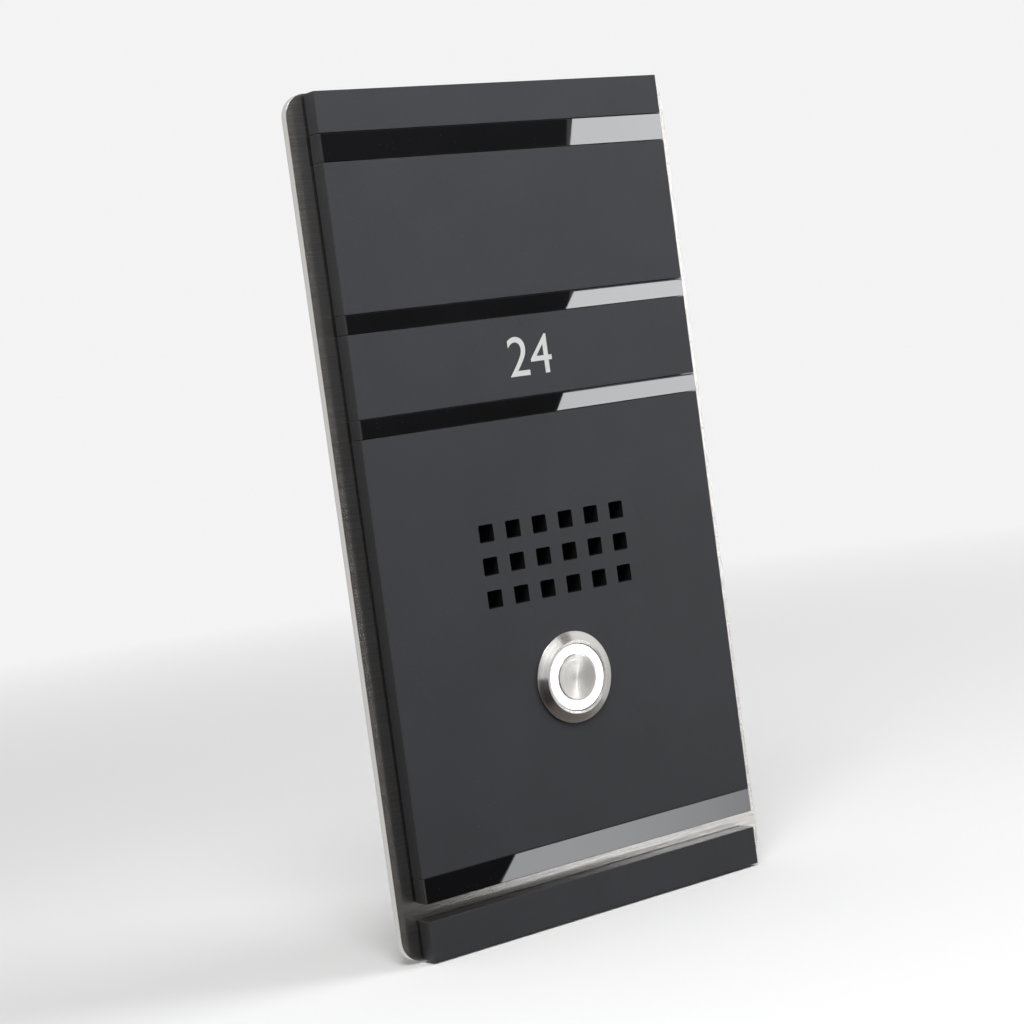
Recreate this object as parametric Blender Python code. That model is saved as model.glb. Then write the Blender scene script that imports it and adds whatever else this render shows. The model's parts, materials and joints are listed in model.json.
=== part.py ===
"""Door intercom panel: a steel plate with glued-on acrylic pieces, a lit push button and a speaker module.

Metres, +Z up. The front faces -Y and the wall is the plane Y = 0, with the origin at the plate's middle.
"""

import math

import bmesh
import bpy
from mathutils import Vector

# Front pieces, from the top down
PANEL_WIDTH = 0.1000
PANEL_THICKNESS = 0.0044
PANEL_CHAMFER = 0.0003
TOP_BAR_HEIGHT = 0.0096
GLOSS_1_HEIGHT = 0.0066
UPPER_PANEL_HEIGHT = 0.0346
GLOSS_2_HEIGHT = 0.0045
NAME_PANEL_HEIGHT = 0.0194
GLOSS_3_HEIGHT = 0.0045
SPEAKER_PANEL_HEIGHT = 0.1014
GLOSS_4_HEIGHT = 0.0060
OPEN_GAP_HEIGHT = 0.0040
BOTTOM_BAR_HEIGHT = 0.0094

# Base plate and what is behind its edges
PLATE_THICKNESS = 0.0020
PLATE_SIDE_BORDER = 0.0050
PLATE_END_BORDER = 0.0002
PLATE_CORNER_RADIUS = 0.0055
SEAL_THICKNESS = 0.0010
SEAL_WIDTH = 0.0060
SEAL_INSET = 0.0020
TAPE_THICKNESS = 0.0003
TAPE_WIDTH = 0.0120
TAPE_INSET = 0.0006
WALL_STUD_RADIUS = 0.0020
WALL_STUD_LENGTH = 0.0220
WALL_STUD_FLANGE = 0.0010
WALL_STUD_FLANGE_THICKNESS = 0.0008
WALL_STUD_SIDE_INSET = 0.0230
WALL_STUD_END_INSET = 0.0152

# Gaps: between faces that rest on each other, round a piece in its hole, and between stacked pieces
SEAT = 0.00015
SLIP = 0.0003
SEAM = 0.0001

# Sound holes
GRID_COLUMNS = 6
GRID_ROWS = 3
GRID_PITCH = 0.0078
SOUND_HOLE = 0.0042
PLATE_HOLE_MARGIN = 0.0005
GRID_BELOW_PANEL_TOP = 0.0337
CLOTH_THICKNESS = 0.0003
CLOTH_MARGIN = 0.0030

# Push button, a standard 19 mm thread with a 22 mm bezel
BUTTON_BELOW_GRID = 0.0299
BARREL_RADIUS = 0.0095
BARREL_LENGTH = 0.0200
BARREL_WALL = 0.00135
BEZEL_LIP = 0.0015
BEZEL_EDGE = 0.0005
BEZEL_HEIGHT = 0.0016
RIM_WIDTH = 0.00065
BEZEL_SEAL_WIDTH = 0.0005
BEZEL_SEAL_THICKNESS = 0.0003
NUT_WALL = 0.0015
NUT_THICKNESS = 0.0035
WASHER_WIDTH = 0.0016
WASHER_THICKNESS = 0.0008
PRESS_TRAVEL = 0.0015
PRESS_SPARE = 0.00035
LENS_GAP = 0.0002
LENS_RECESS = 0.0001
LENS_WIDTH = 0.0022
LENS_THICKNESS = 0.0020
CAP_THICKNESS = 0.0009
CAP_DISH = 0.00015
CAP_STUD_RADIUS = 0.0017
LED_BOARD_THICKNESS = 0.0008
STEM_RADIUS = 0.0030
SPRING_POCKET_DEPTH = 0.0030
SPRING_ROOM = 0.0024
SPRING_WIRE_RADIUS = 0.00025
SPRING_TURNS = 3.5
PLUNGER_FLANGE_THICKNESS = 0.0008
STEM_GUIDE_LENGTH = 0.0050
STEM_SHOULDER_DEPTH = 0.0030
NOSE_SHOULDER = 0.0012
NOSE_LENGTH = 0.0016
BRIDGE_THICKNESS = 0.0006
BRIDGE_GAP = 0.0012
BASE_WALL = 0.0025
BASE_FLOOR = 0.0045
BLADE_WIDTH = 0.0020
BLADE_THICKNESS = 0.0005
BLADE_LENGTH = 0.0050
BLADE_INSET = 0.0011

# Loudspeaker and microphone
SPEAKER_RADIUS = 0.0160
SPEAKER_GASKET_WIDTH = 0.0027
SPEAKER_GASKET_THICKNESS = 0.0010
BASKET_FLANGE_WIDTH = 0.0029
BASKET_SHEET = 0.0008
BASKET_DEPTH = 0.0068
BASKET_WINDOWS = 4
BASKET_WINDOW_WIDTH = 0.0070
SURROUND_WIDTH = 0.0021
SURROUND_ROLL = 0.0007
SURROUND_SHEET = 0.00035
CONE_SHEET = 0.0004
CONE_DEPTH = 0.0034
CONE_TRAVEL = 0.0004
COIL_RADIUS = 0.0036
COIL_WALL = 0.0004
COIL_LENGTH = 0.0048
COIL_SPARE = 0.0016
MAGNET_RADIUS = 0.0085
MAGNET_BACK = 0.0016
MICROPHONE_RADIUS = 0.0030
MICROPHONE_DEPTH = 0.0050
MICROPHONE_GAP = 0.0032
BOOT_WALL = 0.00115
BOOT_DEPTH = 0.0045
BOOT_LIP = 0.0006

# Electronics module behind the plate
HOUSING_WALL = 0.0016
HOUSING_CORNER_RADIUS = 0.0040
HOUSING_NUT_GAP = 0.0011
HOUSING_REAR_ROOM = 0.00145
EAR_REACH = 0.0080
EAR_HEIGHT = 0.0100
EAR_THICKNESS = 0.0025
MODULE_STUD_RADIUS = 0.0015
MODULE_STUD_SPARE = 0.0015
MODULE_NUT_WALL = 0.0011
MODULE_NUT_THICKNESS = 0.0024
BOARD_WIDTH = 0.0560
BOARD_HEIGHT = 0.0380
BOARD_THICKNESS = 0.0016
BOARD_GAP = 0.0014
BOARD_SIDE_GAP = 0.0014
BOARD_DEPTH = 0.0040
BOSS_RADIUS = 0.0026
BOSS_INSET = 0.0035
BOARD_SCREW_RADIUS = 0.0011
BOARD_SCREW_LENGTH = 0.0080
BOARD_SCREW_HEAD = 0.0012
BLOCK_WAYS = 4
BLOCK_PITCH = 0.00508
BLOCK_HEIGHT = 0.0100
BLOCK_BELOW_BOARD_TOP = 0.0030
BLOCK_PROUD = 0.0020
BLOCK_WELL_RADIUS = 0.0017
BLOCK_WELL_DEPTH = 0.0040
BLOCK_ENTRY = 0.0028
TERMINAL_SCREW_LENGTH = 0.0026
SCREW_SLOT = 0.0005
CHIP_SIZE = (0.0100, 0.0022, 0.0075)
CHIP_PLACE = (-0.0140, 0.0110)
CAPACITOR_RADIUS = 0.0040
CAPACITOR_LENGTH = 0.0080
CAPACITOR_PLACE = (0.0130, 0.0120)

# Facets
TURN_STEPS = 24
FINE_TURN_STEPS = 40
SMALL_TURN_STEPS = 12
CORNER_STEPS = 6
ROLL_STEPS = 4
CURL_POINTS = 9
CUTTER_SPARE = 0.0010

# Layers from the wall forwards
PLATE_REAR = -(SEAL_THICKNESS + SEAT)
PLATE_FRONT = PLATE_REAR - PLATE_THICKNESS
TAPE_REAR = PLATE_FRONT - SEAT
TAPE_FRONT = TAPE_REAR - TAPE_THICKNESS
PANEL_REAR = TAPE_FRONT - SEAT
PANEL_FRONT = PANEL_REAR - PANEL_THICKNESS
BEHIND_PLATE = PLATE_REAR + SEAT

# Front pieces as name, height and finish, and the open gap as a height without a name
FRONT_STACK = (
    ("top_bar", TOP_BAR_HEIGHT, "matt"),
    ("gloss_strip_1", GLOSS_1_HEIGHT, "gloss"),
    ("upper_panel", UPPER_PANEL_HEIGHT, "matt"),
    ("gloss_strip_2", GLOSS_2_HEIGHT, "gloss"),
    ("name_panel", NAME_PANEL_HEIGHT, "matt"),
    ("gloss_strip_3", GLOSS_3_HEIGHT, "gloss"),
    ("speaker_panel", SPEAKER_PANEL_HEIGHT, "matt"),
    ("gloss_strip_4", GLOSS_4_HEIGHT, "gloss"),
    (None, OPEN_GAP_HEIGHT, None),
    ("bottom_bar", BOTTOM_BAR_HEIGHT, "matt"),
)
STACK_HEIGHT = sum(height for _, height, _ in FRONT_STACK)
PLATE_WIDTH = PANEL_WIDTH + 2 * PLATE_SIDE_BORDER
PLATE_HEIGHT = STACK_HEIGHT + 2 * PLATE_END_BORDER


def stack_tops():
    """Each front piece's upper edge, by name."""
    tops = {}
    edge = STACK_HEIGHT / 2
    for name, height, _ in FRONT_STACK:
        tops[name] = edge
        edge -= height
    return tops


STACK_TOP = stack_tops()
GRID_Z = STACK_TOP["speaker_panel"] - GRID_BELOW_PANEL_TOP
BUTTON_Z = GRID_Z - BUTTON_BELOW_GRID
GRID_WIDTH = (GRID_COLUMNS - 1) * GRID_PITCH + SOUND_HOLE
GRID_HEIGHT = (GRID_ROWS - 1) * GRID_PITCH + SOUND_HOLE

# The speaker stands clear above the button's nut, and beside the microphone behind the last column
NUT_ACROSS = 2 * (BARREL_RADIUS + NUT_WALL)
HOUSING_BOTTOM = BUTTON_Z + NUT_ACROSS / 2 + HOUSING_NUT_GAP
SPEAKER_Z = HOUSING_BOTTOM + HOUSING_WALL + SLIP + SPEAKER_RADIUS
BOOT_RADIUS = MICROPHONE_RADIUS + SEAT + BOOT_WALL
MICROPHONE_X = (GRID_COLUMNS - 1) * GRID_PITCH / 2
SPEAKER_X = MICROPHONE_X - BOOT_RADIUS - MICROPHONE_GAP - SPEAKER_RADIUS
BOARD_BOTTOM = SPEAKER_Z + SPEAKER_RADIUS + BOARD_GAP
BOARD_TOP = BOARD_BOTTOM + BOARD_HEIGHT
HOUSING_TOP = BOARD_TOP + SLIP + HOUSING_WALL
HOUSING_Z = (HOUSING_BOTTOM + HOUSING_TOP) / 2
HOUSING_WIDTH = BOARD_WIDTH + 2 * (BOARD_SIDE_GAP + HOUSING_WALL)

# Finishes as base colour, roughness and metallic
FINISHES = {
    "steel": ((0.55, 0.54, 0.52), 0.30, 1.0),
    "zinc": ((0.60, 0.60, 0.58), 0.40, 1.0),
    "copper": ((0.70, 0.38, 0.22), 0.35, 1.0),
    "matt": ((0.045, 0.046, 0.050), 0.55, 0.0),
    "gloss": ((0.004, 0.004, 0.005), 0.05, 0.0),
    "lens": ((0.90, 0.92, 0.95), 0.30, 0.0),
    "tape": ((0.02, 0.02, 0.02), 0.80, 0.0),
    "foam": ((0.03, 0.03, 0.03), 0.95, 0.0),
    "rubber": ((0.02, 0.02, 0.02), 0.70, 0.0),
    "cloth": ((0.01, 0.01, 0.01), 0.95, 0.0),
    "plastic": ((0.03, 0.03, 0.032), 0.50, 0.0),
    "board": ((0.02, 0.16, 0.06), 0.45, 0.0),
    "block": ((0.03, 0.22, 0.08), 0.45, 0.0),
    "ferrite": ((0.05, 0.05, 0.05), 0.60, 0.0),
    "paper": ((0.06, 0.06, 0.06), 0.90, 0.0),
}


def finish(name):
    """The named finish as a material, made once."""
    material = bpy.data.materials.get(name)
    if material:
        return material
    colour, roughness, metallic = FINISHES[name]
    material = bpy.data.materials.new(name)
    material.use_nodes = True
    shader = material.node_tree.nodes["Principled BSDF"]
    shader.inputs["Base Color"].default_value = (*colour, 1.0)
    shader.inputs["Roughness"].default_value = roughness
    shader.inputs["Metallic"].default_value = metallic
    return material


def placed(name, data, look, parent=None):
    """A new object of this mesh or curve in the scene."""
    item = bpy.data.objects.new(name, data)
    bpy.context.scene.collection.objects.link(item)
    if look:
        data.materials.append(finish(look))
    item.parent = parent
    return item


def axis_at(name, x, z):
    """An empty on a line along Y, which turned pieces hang on."""
    item = placed(name, None, None)
    item.location = (x, 0, z)
    return item


def mesh_of(name, body):
    """A closed bmesh as a mesh with its faces pointing out."""
    bmesh.ops.recalc_face_normals(body, faces=body.faces)
    mesh = bpy.data.meshes.new(name)
    body.to_mesh(mesh)
    body.free()
    return mesh


def rectangle(width, height, x=0.0, z=0.0, radius=0.0):
    """Outline of a rectangle in the XZ plane, with round corners where a radius is given."""
    steps = CORNER_STEPS if radius else 0
    points = []
    for corner, (side, end) in enumerate(((1, 1), (-1, 1), (-1, -1), (1, -1))):
        middle_x = x + side * (width / 2 - radius)
        middle_z = z + end * (height / 2 - radius)
        for step in range(steps + 1):
            angle = (corner + (step / steps if steps else 0)) * math.pi / 2
            points.append((middle_x + radius * math.cos(angle), middle_z + radius * math.sin(angle)))
    return points


def circle(radius, x=0.0, z=0.0, steps=TURN_STEPS, start=0.0):
    """Outline of a circle, or of a regular polygon with few steps."""
    angles = [start + 2 * math.pi * step / steps for step in range(steps)]
    return [(x + radius * math.cos(angle), z + radius * math.sin(angle)) for angle in angles]


def hexagon(across, x=0.0, z=0.0):
    """Outline of a hexagon with a flat side up, from its width across flats."""
    return circle(across / math.sqrt(3), x, z, steps=6)


def cut_sheet(name, outline, holes, front, rear, look, chamfer=0.0):
    """A flat piece upright in the XZ plane, cut to an outline with holes."""
    curve = bpy.data.curves.new(name, "CURVE")
    curve.dimensions = "2D"
    curve.fill_mode = "BOTH"
    curve.extrude = (rear - front) / 2 - chamfer
    curve.bevel_depth = chamfer
    curve.bevel_resolution = 0
    curve.offset = -chamfer
    for points in [outline, *holes]:
        spline = curve.splines.new("POLY")
        spline.points.add(len(points) - 1)
        spline.use_cyclic_u = True
        for point, (x, z) in zip(spline.points, points):
            point.co = (x, z, 0, 1)
    item = placed(name, curve, look)
    item.location = (0, (front + rear) / 2, 0)
    item.rotation_euler = (math.pi / 2, 0, 0)
    return item


def prism(name, outline, front, rear, look):
    """A mesh with the outline's section, along Y."""
    body = bmesh.new()
    face = body.faces.new([body.verts.new((x, front, z)) for x, z in outline])
    grown = bmesh.ops.extrude_face_region(body, geom=[face])["geom"]
    corners = [part for part in grown if isinstance(part, bmesh.types.BMVert)]
    bmesh.ops.translate(body, verts=corners, vec=(0, rear - front, 0))
    return placed(name, mesh_of(name, body), look)


def turned(name, section, look, axis, steps=TURN_STEPS):
    """A piece turned about Y on its axis, from (radius, y) points that go once round its section."""
    body = bmesh.new()
    points = [body.verts.new((radius, y, 0)) for radius, y in section]
    for start, end in zip(points, points[1:] + points[:1]):
        if start.co.x > 0 or end.co.x > 0:
            body.edges.new((start, end))
    bmesh.ops.spin(
        body,
        geom=body.verts[:] + body.edges[:],
        cent=(0, 0, 0),
        axis=(0, 1, 0),
        angle=2 * math.pi,
        steps=steps,
        use_merge=True,
    )
    bmesh.ops.remove_doubles(body, verts=body.verts, dist=1e-7)
    mesh = mesh_of(name, body)
    mesh.shade_smooth()
    mesh.set_sharp_from_angle(angle=math.radians(30))
    return placed(name, mesh, look, axis)


def ring(name, inner, outer, front, rear, look, axis):
    """A plain turned ring."""
    return turned(name, ((inner, front), (outer, front), (outer, rear), (inner, rear)), look, axis)


def block(name, size, middle, look):
    """A plain block from its size and middle."""
    body = bmesh.new()
    bmesh.ops.create_cube(body, size=1)
    bmesh.ops.scale(body, verts=body.verts, vec=size)
    bmesh.ops.translate(body, verts=body.verts, vec=middle)
    return placed(name, mesh_of(name, body), look)


def cutter(item):
    """Turns an object into a helper that only shapes others."""
    item.hide_render = True
    item.display_type = "WIRE"
    return item


def boolean(item, helper, operation):
    """Joins or cuts an object with a helper."""
    modifier = item.modifiers.new(helper.name, "BOOLEAN")
    modifier.operation = operation
    modifier.solver = "EXACT"
    modifier.object = cutter(helper)


def grid_holes(size):
    """Square outlines of the sound holes."""
    holes = []
    for row in range(GRID_ROWS):
        for column in range(GRID_COLUMNS):
            x = (column - (GRID_COLUMNS - 1) / 2) * GRID_PITCH
            z = GRID_Z + ((GRID_ROWS - 1) / 2 - row) * GRID_PITCH
            holes.append(rectangle(size, size, x, z))
    return holes


def button_hole():
    """Outline of the hole that the button's barrel passes through."""
    return circle(BARREL_RADIUS + SLIP, 0, BUTTON_Z, FINE_TURN_STEPS)


def make_base_plate():
    outline = rectangle(PLATE_WIDTH, PLATE_HEIGHT, radius=PLATE_CORNER_RADIUS)
    holes = grid_holes(SOUND_HOLE + 2 * PLATE_HOLE_MARGIN) + [button_hole()]
    cut_sheet("base_plate", outline, holes, PLATE_FRONT, PLATE_REAR, "steel")


def make_front_pieces():
    for name, height, look in FRONT_STACK:
        if not name:
            continue
        middle = STACK_TOP[name] - height / 2
        outline = rectangle(PANEL_WIDTH, height - SEAM, 0, middle)
        holes = grid_holes(SOUND_HOLE) + [button_hole()] if name == "speaker_panel" else []
        cut_sheet(name, outline, holes, PANEL_FRONT, PANEL_REAR, look, PANEL_CHAMFER)


def make_tapes():
    """Two long strips hold all pieces above the open gap, and a short one holds the bottom bar."""
    top = STACK_TOP["top_bar"] - TAPE_INSET
    bottom = STACK_TOP[None] + TAPE_INSET
    length = top - bottom
    side = (PANEL_WIDTH - TAPE_WIDTH) / 2 - TAPE_INSET
    for name, x in (("tape_left", -side), ("tape_right", side)):
        outline = rectangle(TAPE_WIDTH, length, x, (top + bottom) / 2)
        cut_sheet(name, outline, [], TAPE_FRONT, TAPE_REAR, "tape")
    foot = STACK_TOP["bottom_bar"] - BOTTOM_BAR_HEIGHT / 2
    foot_height = BOTTOM_BAR_HEIGHT - 2 * TAPE_INSET
    outline = rectangle(PANEL_WIDTH - 2 * TAPE_INSET, foot_height, 0, foot)
    cut_sheet("tape_foot", outline, [], TAPE_FRONT, TAPE_REAR, "tape")


def make_wall_seals():
    """Four foam strips round the plate's rear, set back from its edge."""
    width = PLATE_WIDTH - 2 * SEAL_INSET
    height = PLATE_HEIGHT - 2 * SEAL_INSET
    side = (width - SEAL_WIDTH) / 2
    end = (height - SEAL_WIDTH) / 2
    between = width - 2 * (SEAL_WIDTH + SEAT)
    strips = (
        ("wall_seal_left", rectangle(SEAL_WIDTH, height, -side, 0)),
        ("wall_seal_right", rectangle(SEAL_WIDTH, height, side, 0)),
        ("wall_seal_top", rectangle(between, SEAL_WIDTH, 0, end)),
        ("wall_seal_bottom", rectangle(between, SEAL_WIDTH, 0, -end)),
    )
    for name, outline in strips:
        cut_sheet(name, outline, [], BEHIND_PLATE, 0, "foam")


def make_wall_studs():
    """Studs on the plate's rear that go into drilled holes in the wall."""
    flange = WALL_STUD_RADIUS + WALL_STUD_FLANGE
    shoulder = BEHIND_PLATE + WALL_STUD_FLANGE_THICKNESS
    tip = BEHIND_PLATE + WALL_STUD_LENGTH
    bevel = WALL_STUD_RADIUS / 4
    section = (
        (0, BEHIND_PLATE),
        (flange, BEHIND_PLATE),
        (flange, shoulder),
        (WALL_STUD_RADIUS, shoulder),
        (WALL_STUD_RADIUS, tip - bevel),
        (WALL_STUD_RADIUS - bevel, tip),
        (0, tip),
    )
    number = 0
    for end in (1, -1):
        for side in (-1, 1):
            number += 1
            x = side * (PLATE_WIDTH / 2 - WALL_STUD_SIDE_INSET)
            z = end * (PLATE_HEIGHT / 2 - WALL_STUD_END_INSET)
            axis = axis_at(f"wall_stud_axis_{number}", x, z)
            turned(f"wall_stud_{number}", section, "zinc", axis, SMALL_TURN_STEPS)


# Push button, radii from the barrel inwards
BORE_RADIUS = BARREL_RADIUS - BARREL_WALL
BEZEL_RADIUS = BARREL_RADIUS + BEZEL_LIP
LENS_RADIUS = BORE_RADIUS - LENS_GAP
CAP_HOLE_RADIUS = LENS_RADIUS - LENS_WIDTH
POCKET_RADIUS = STEM_RADIUS + SPRING_ROOM
BASE_RADIUS = BORE_RADIUS - SEAT
CAVITY_RADIUS = BASE_RADIUS - BASE_WALL
NOSE_RADIUS = STEM_RADIUS - NOSE_SHOULDER
BRIDGE_RADIUS = CAVITY_RADIUS - BRIDGE_GAP

# Push button, depths from the front inwards
BEZEL_SEAT = PANEL_FRONT - SEAT
BEZEL_FRONT = BEZEL_SEAT - BEZEL_HEIGHT
BARREL_REAR = BEZEL_SEAT + BARREL_LENGTH
LENS_FRONT = BEZEL_FRONT + LENS_RECESS
LENS_REAR = LENS_FRONT + LENS_THICKNESS
LED_FRONT = LENS_REAR + PRESS_TRAVEL + PRESS_SPARE
LED_REAR = LED_FRONT + LED_BOARD_THICKNESS
LEDGE = LED_REAR + SEAT
POCKET_FLOOR = LEDGE + SPRING_POCKET_DEPTH
GUIDE_REAR = POCKET_FLOOR + STEM_GUIDE_LENGTH
PLUNGER_FRONT = LENS_REAR + SEAT
SPRING_FRONT = PLUNGER_FRONT + PLUNGER_FLANGE_THICKNESS + SEAT
SPRING_REAR = POCKET_FLOOR - SEAT
STEM_END = GUIDE_REAR + STEM_SHOULDER_DEPTH
NOSE_END = STEM_END + NOSE_LENGTH
BRIDGE_FRONT = STEM_END + SEAT
BRIDGE_REAR = BRIDGE_FRONT + BRIDGE_THICKNESS
BASE_FRONT = GUIDE_REAR + SEAT
CONTACT_FRONT = BRIDGE_REAR + PRESS_TRAVEL + SEAT
CAVITY_FLOOR = NOSE_END + PRESS_TRAVEL + PRESS_SPARE
BASE_REAR = CAVITY_FLOOR + BASE_FLOOR


def make_button_housing(axis):
    """Conical bezel and barrel in one, with a stepped bore and a groove under the lip for the seal."""
    groove = BARREL_RADIUS + SEAT + BEZEL_SEAL_WIDTH + SEAT
    groove_floor = BEZEL_SEAT - BEZEL_SEAL_THICKNESS - SEAT
    section = (
        (BORE_RADIUS, BEZEL_FRONT),
        (BORE_RADIUS + RIM_WIDTH, BEZEL_FRONT),
        (BEZEL_RADIUS, BEZEL_SEAT - BEZEL_EDGE),
        (BEZEL_RADIUS, BEZEL_SEAT),
        (groove, BEZEL_SEAT),
        (groove, groove_floor),
        (BARREL_RADIUS, groove_floor),
        (BARREL_RADIUS, BARREL_REAR),
        (BORE_RADIUS, BARREL_REAR),
        (BORE_RADIUS, GUIDE_REAR),
        (STEM_RADIUS + SLIP, GUIDE_REAR),
        (STEM_RADIUS + SLIP, POCKET_FLOOR),
        (POCKET_RADIUS, POCKET_FLOOR),
        (POCKET_RADIUS, LEDGE),
        (BORE_RADIUS, LEDGE),
    )
    turned("button_housing", section, "steel", axis, FINE_TURN_STEPS)
    inner = BARREL_RADIUS + SEAT
    ring("bezel_seal", inner, inner + BEZEL_SEAL_WIDTH, groove_floor + SEAT, BEZEL_SEAT, "rubber", axis)


def make_button_clamp(axis):
    """Washer and hexagon nut behind the plate."""
    bore = BARREL_RADIUS + SEAT
    washer_rear = BEHIND_PLATE + WASHER_THICKNESS
    ring("lock_washer", bore, bore + WASHER_WIDTH, BEHIND_PLATE, washer_rear, "zinc", axis)
    nut_front = washer_rear + SEAT
    hole = circle(bore, 0, BUTTON_Z, FINE_TURN_STEPS)
    outline = hexagon(NUT_ACROSS, 0, BUTTON_Z)
    cut_sheet("button_nut", outline, [hole], nut_front, nut_front + NUT_THICKNESS, "zinc")


def make_button_mover(axis):
    """The pieces that travel together: lit ring, steel cap, plunger and contact bridge."""
    recess = LENS_FRONT + CAP_THICKNESS + SEAT
    stud_hole = CAP_STUD_RADIUS + SEAT
    lens = (
        (CAP_HOLE_RADIUS, LENS_FRONT),
        (LENS_RADIUS, LENS_FRONT),
        (LENS_RADIUS, LENS_REAR),
        (stud_hole, LENS_REAR),
        (stud_hole, recess),
        (CAP_HOLE_RADIUS, recess),
    )
    turned("light_ring", lens, "lens", axis, FINE_TURN_STEPS)
    cap_radius = CAP_HOLE_RADIUS - SEAT
    cap_rear = LENS_FRONT + CAP_THICKNESS
    cap = (
        (0, LENS_FRONT + CAP_DISH),
        (cap_radius - CAP_DISH, LENS_FRONT),
        (cap_radius, LENS_FRONT + CAP_DISH),
        (cap_radius, cap_rear),
        (CAP_STUD_RADIUS, cap_rear),
        (CAP_STUD_RADIUS, LENS_REAR),
        (0, LENS_REAR),
    )
    turned("button_cap", cap, "steel", axis, FINE_TURN_STEPS)
    flange_rear = PLUNGER_FRONT + PLUNGER_FLANGE_THICKNESS
    plunger = (
        (0, PLUNGER_FRONT),
        (POCKET_RADIUS - SLIP, PLUNGER_FRONT),
        (POCKET_RADIUS - SLIP, flange_rear),
        (STEM_RADIUS, flange_rear),
        (STEM_RADIUS, STEM_END),
        (NOSE_RADIUS, STEM_END),
        (NOSE_RADIUS, NOSE_END),
        (0, NOSE_END),
    )
    turned("plunger", plunger, "plastic", axis)
    ring("contact_bridge", NOSE_RADIUS + SEAT, BRIDGE_RADIUS, BRIDGE_FRONT, BRIDGE_REAR, "copper", axis)


def helix(front, rear, radius, turns):
    """Points of a coil along Y from one end to the other."""
    count = round(turns * CURL_POINTS)
    points = []
    for index in range(count + 1):
        share = index / count
        angle = 2 * math.pi * turns * share
        y = front + share * (rear - front)
        points.append(Vector((radius * math.cos(angle), y, radius * math.sin(angle))))
    return points


def least_gap(points, wire_radius):
    """The least clear distance between neighbouring turns of a coil."""
    distances = [
        (second - first).length
        for index, first in enumerate(points)
        for second in points[index + CURL_POINTS // 2 :]
    ]
    return min(distances) - 2 * wire_radius


def make_return_spring(axis):
    """One unbroken wire between the plunger's flange and the pocket's floor."""
    front = SPRING_FRONT + SPRING_WIRE_RADIUS
    rear = SPRING_REAR - SPRING_WIRE_RADIUS
    points = helix(front, rear, STEM_RADIUS + SPRING_ROOM / 2, SPRING_TURNS)
    print(f"return spring: least gap {1000 * least_gap(points, SPRING_WIRE_RADIUS):.2f} mm")
    curve = bpy.data.curves.new("return_spring", "CURVE")
    curve.dimensions = "3D"
    curve.bevel_depth = SPRING_WIRE_RADIUS
    curve.bevel_resolution = 1
    curve.use_fill_caps = True
    spline = curve.splines.new("POLY")
    spline.points.add(len(points) - 1)
    for point, place in zip(spline.points, points):
        point.co = (*place, 1)
    placed("return_spring", curve, "steel", axis)


def make_switch(axis):
    """Ring board with the lamps, and the rear base with its four terminal blades."""
    ring("led_board", POCKET_RADIUS, BORE_RADIUS - SEAT, LED_FRONT, LED_REAR, "board", axis)
    base = (
        (CAVITY_RADIUS, BASE_FRONT),
        (BASE_RADIUS, BASE_FRONT),
        (BASE_RADIUS, BASE_REAR),
        (0, BASE_REAR),
        (0, CAVITY_FLOOR),
        (CAVITY_RADIUS, CAVITY_FLOOR),
    )
    switch_base = turned("switch_base", base, "plastic", axis)
    contact_x = BRIDGE_RADIUS - BLADE_INSET
    lamp_z = CAVITY_RADIUS + BASE_WALL / 2
    contact_blade = (BLADE_THICKNESS, BLADE_WIDTH)
    lamp_blade = (BLADE_WIDTH, BLADE_THICKNESS)
    blades = (
        (-contact_x, 0, contact_blade, CONTACT_FRONT),
        (contact_x, 0, contact_blade, CONTACT_FRONT),
        (0, lamp_z, lamp_blade, BASE_FRONT),
        (0, -lamp_z, lamp_blade, BASE_FRONT),
    )
    tip = BASE_REAR + BLADE_LENGTH
    for number, (x, z, (width, height), front) in enumerate(blades, 1):
        middle = (x, (front + tip) / 2, BUTTON_Z + z)
        block(f"switch_terminal_{number}", (width, tip - front, height), middle, "copper")
        room = (width + 2 * SEAT, tip - front + 2 * CUTTER_SPARE, height + 2 * SEAT)
        boolean(switch_base, block(f"terminal_slot_{number}", room, middle, None), "DIFFERENCE")


# Loudspeaker, depths from the plate inwards
CLOTH_REAR = BEHIND_PLATE + CLOTH_THICKNESS
GASKET_FRONT = CLOTH_REAR + SEAT
GASKET_REAR = GASKET_FRONT + SPEAKER_GASKET_THICKNESS
BASKET_FRONT = GASKET_REAR + SEAT
BASKET_REAR = BASKET_FRONT + BASKET_DEPTH
CONE_FRONT = BASKET_FRONT + SEAT
NECK_REAR = CONE_FRONT + CONE_DEPTH + CONE_SHEET
COIL_FRONT = NECK_REAR + SEAT
COIL_REAR = COIL_FRONT + COIL_LENGTH
MAGNET_FRONT = BASKET_REAR + SEAT
MAGNET_GAP_FLOOR = COIL_REAR + CONE_TRAVEL + COIL_SPARE
MAGNET_REAR = MAGNET_GAP_FLOOR + MAGNET_BACK
BASKET_BORE = SPEAKER_RADIUS - BASKET_FLANGE_WIDTH
CONE_RADIUS = BASKET_BORE - 2 * SEAT - SURROUND_WIDTH


def make_sound_cloth():
    outline = rectangle(GRID_WIDTH + 2 * CLOTH_MARGIN, GRID_HEIGHT + 2 * CLOTH_MARGIN, 0, GRID_Z)
    cut_sheet("sound_cloth", outline, [], BEHIND_PLATE, CLOTH_REAR, "cloth")


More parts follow.
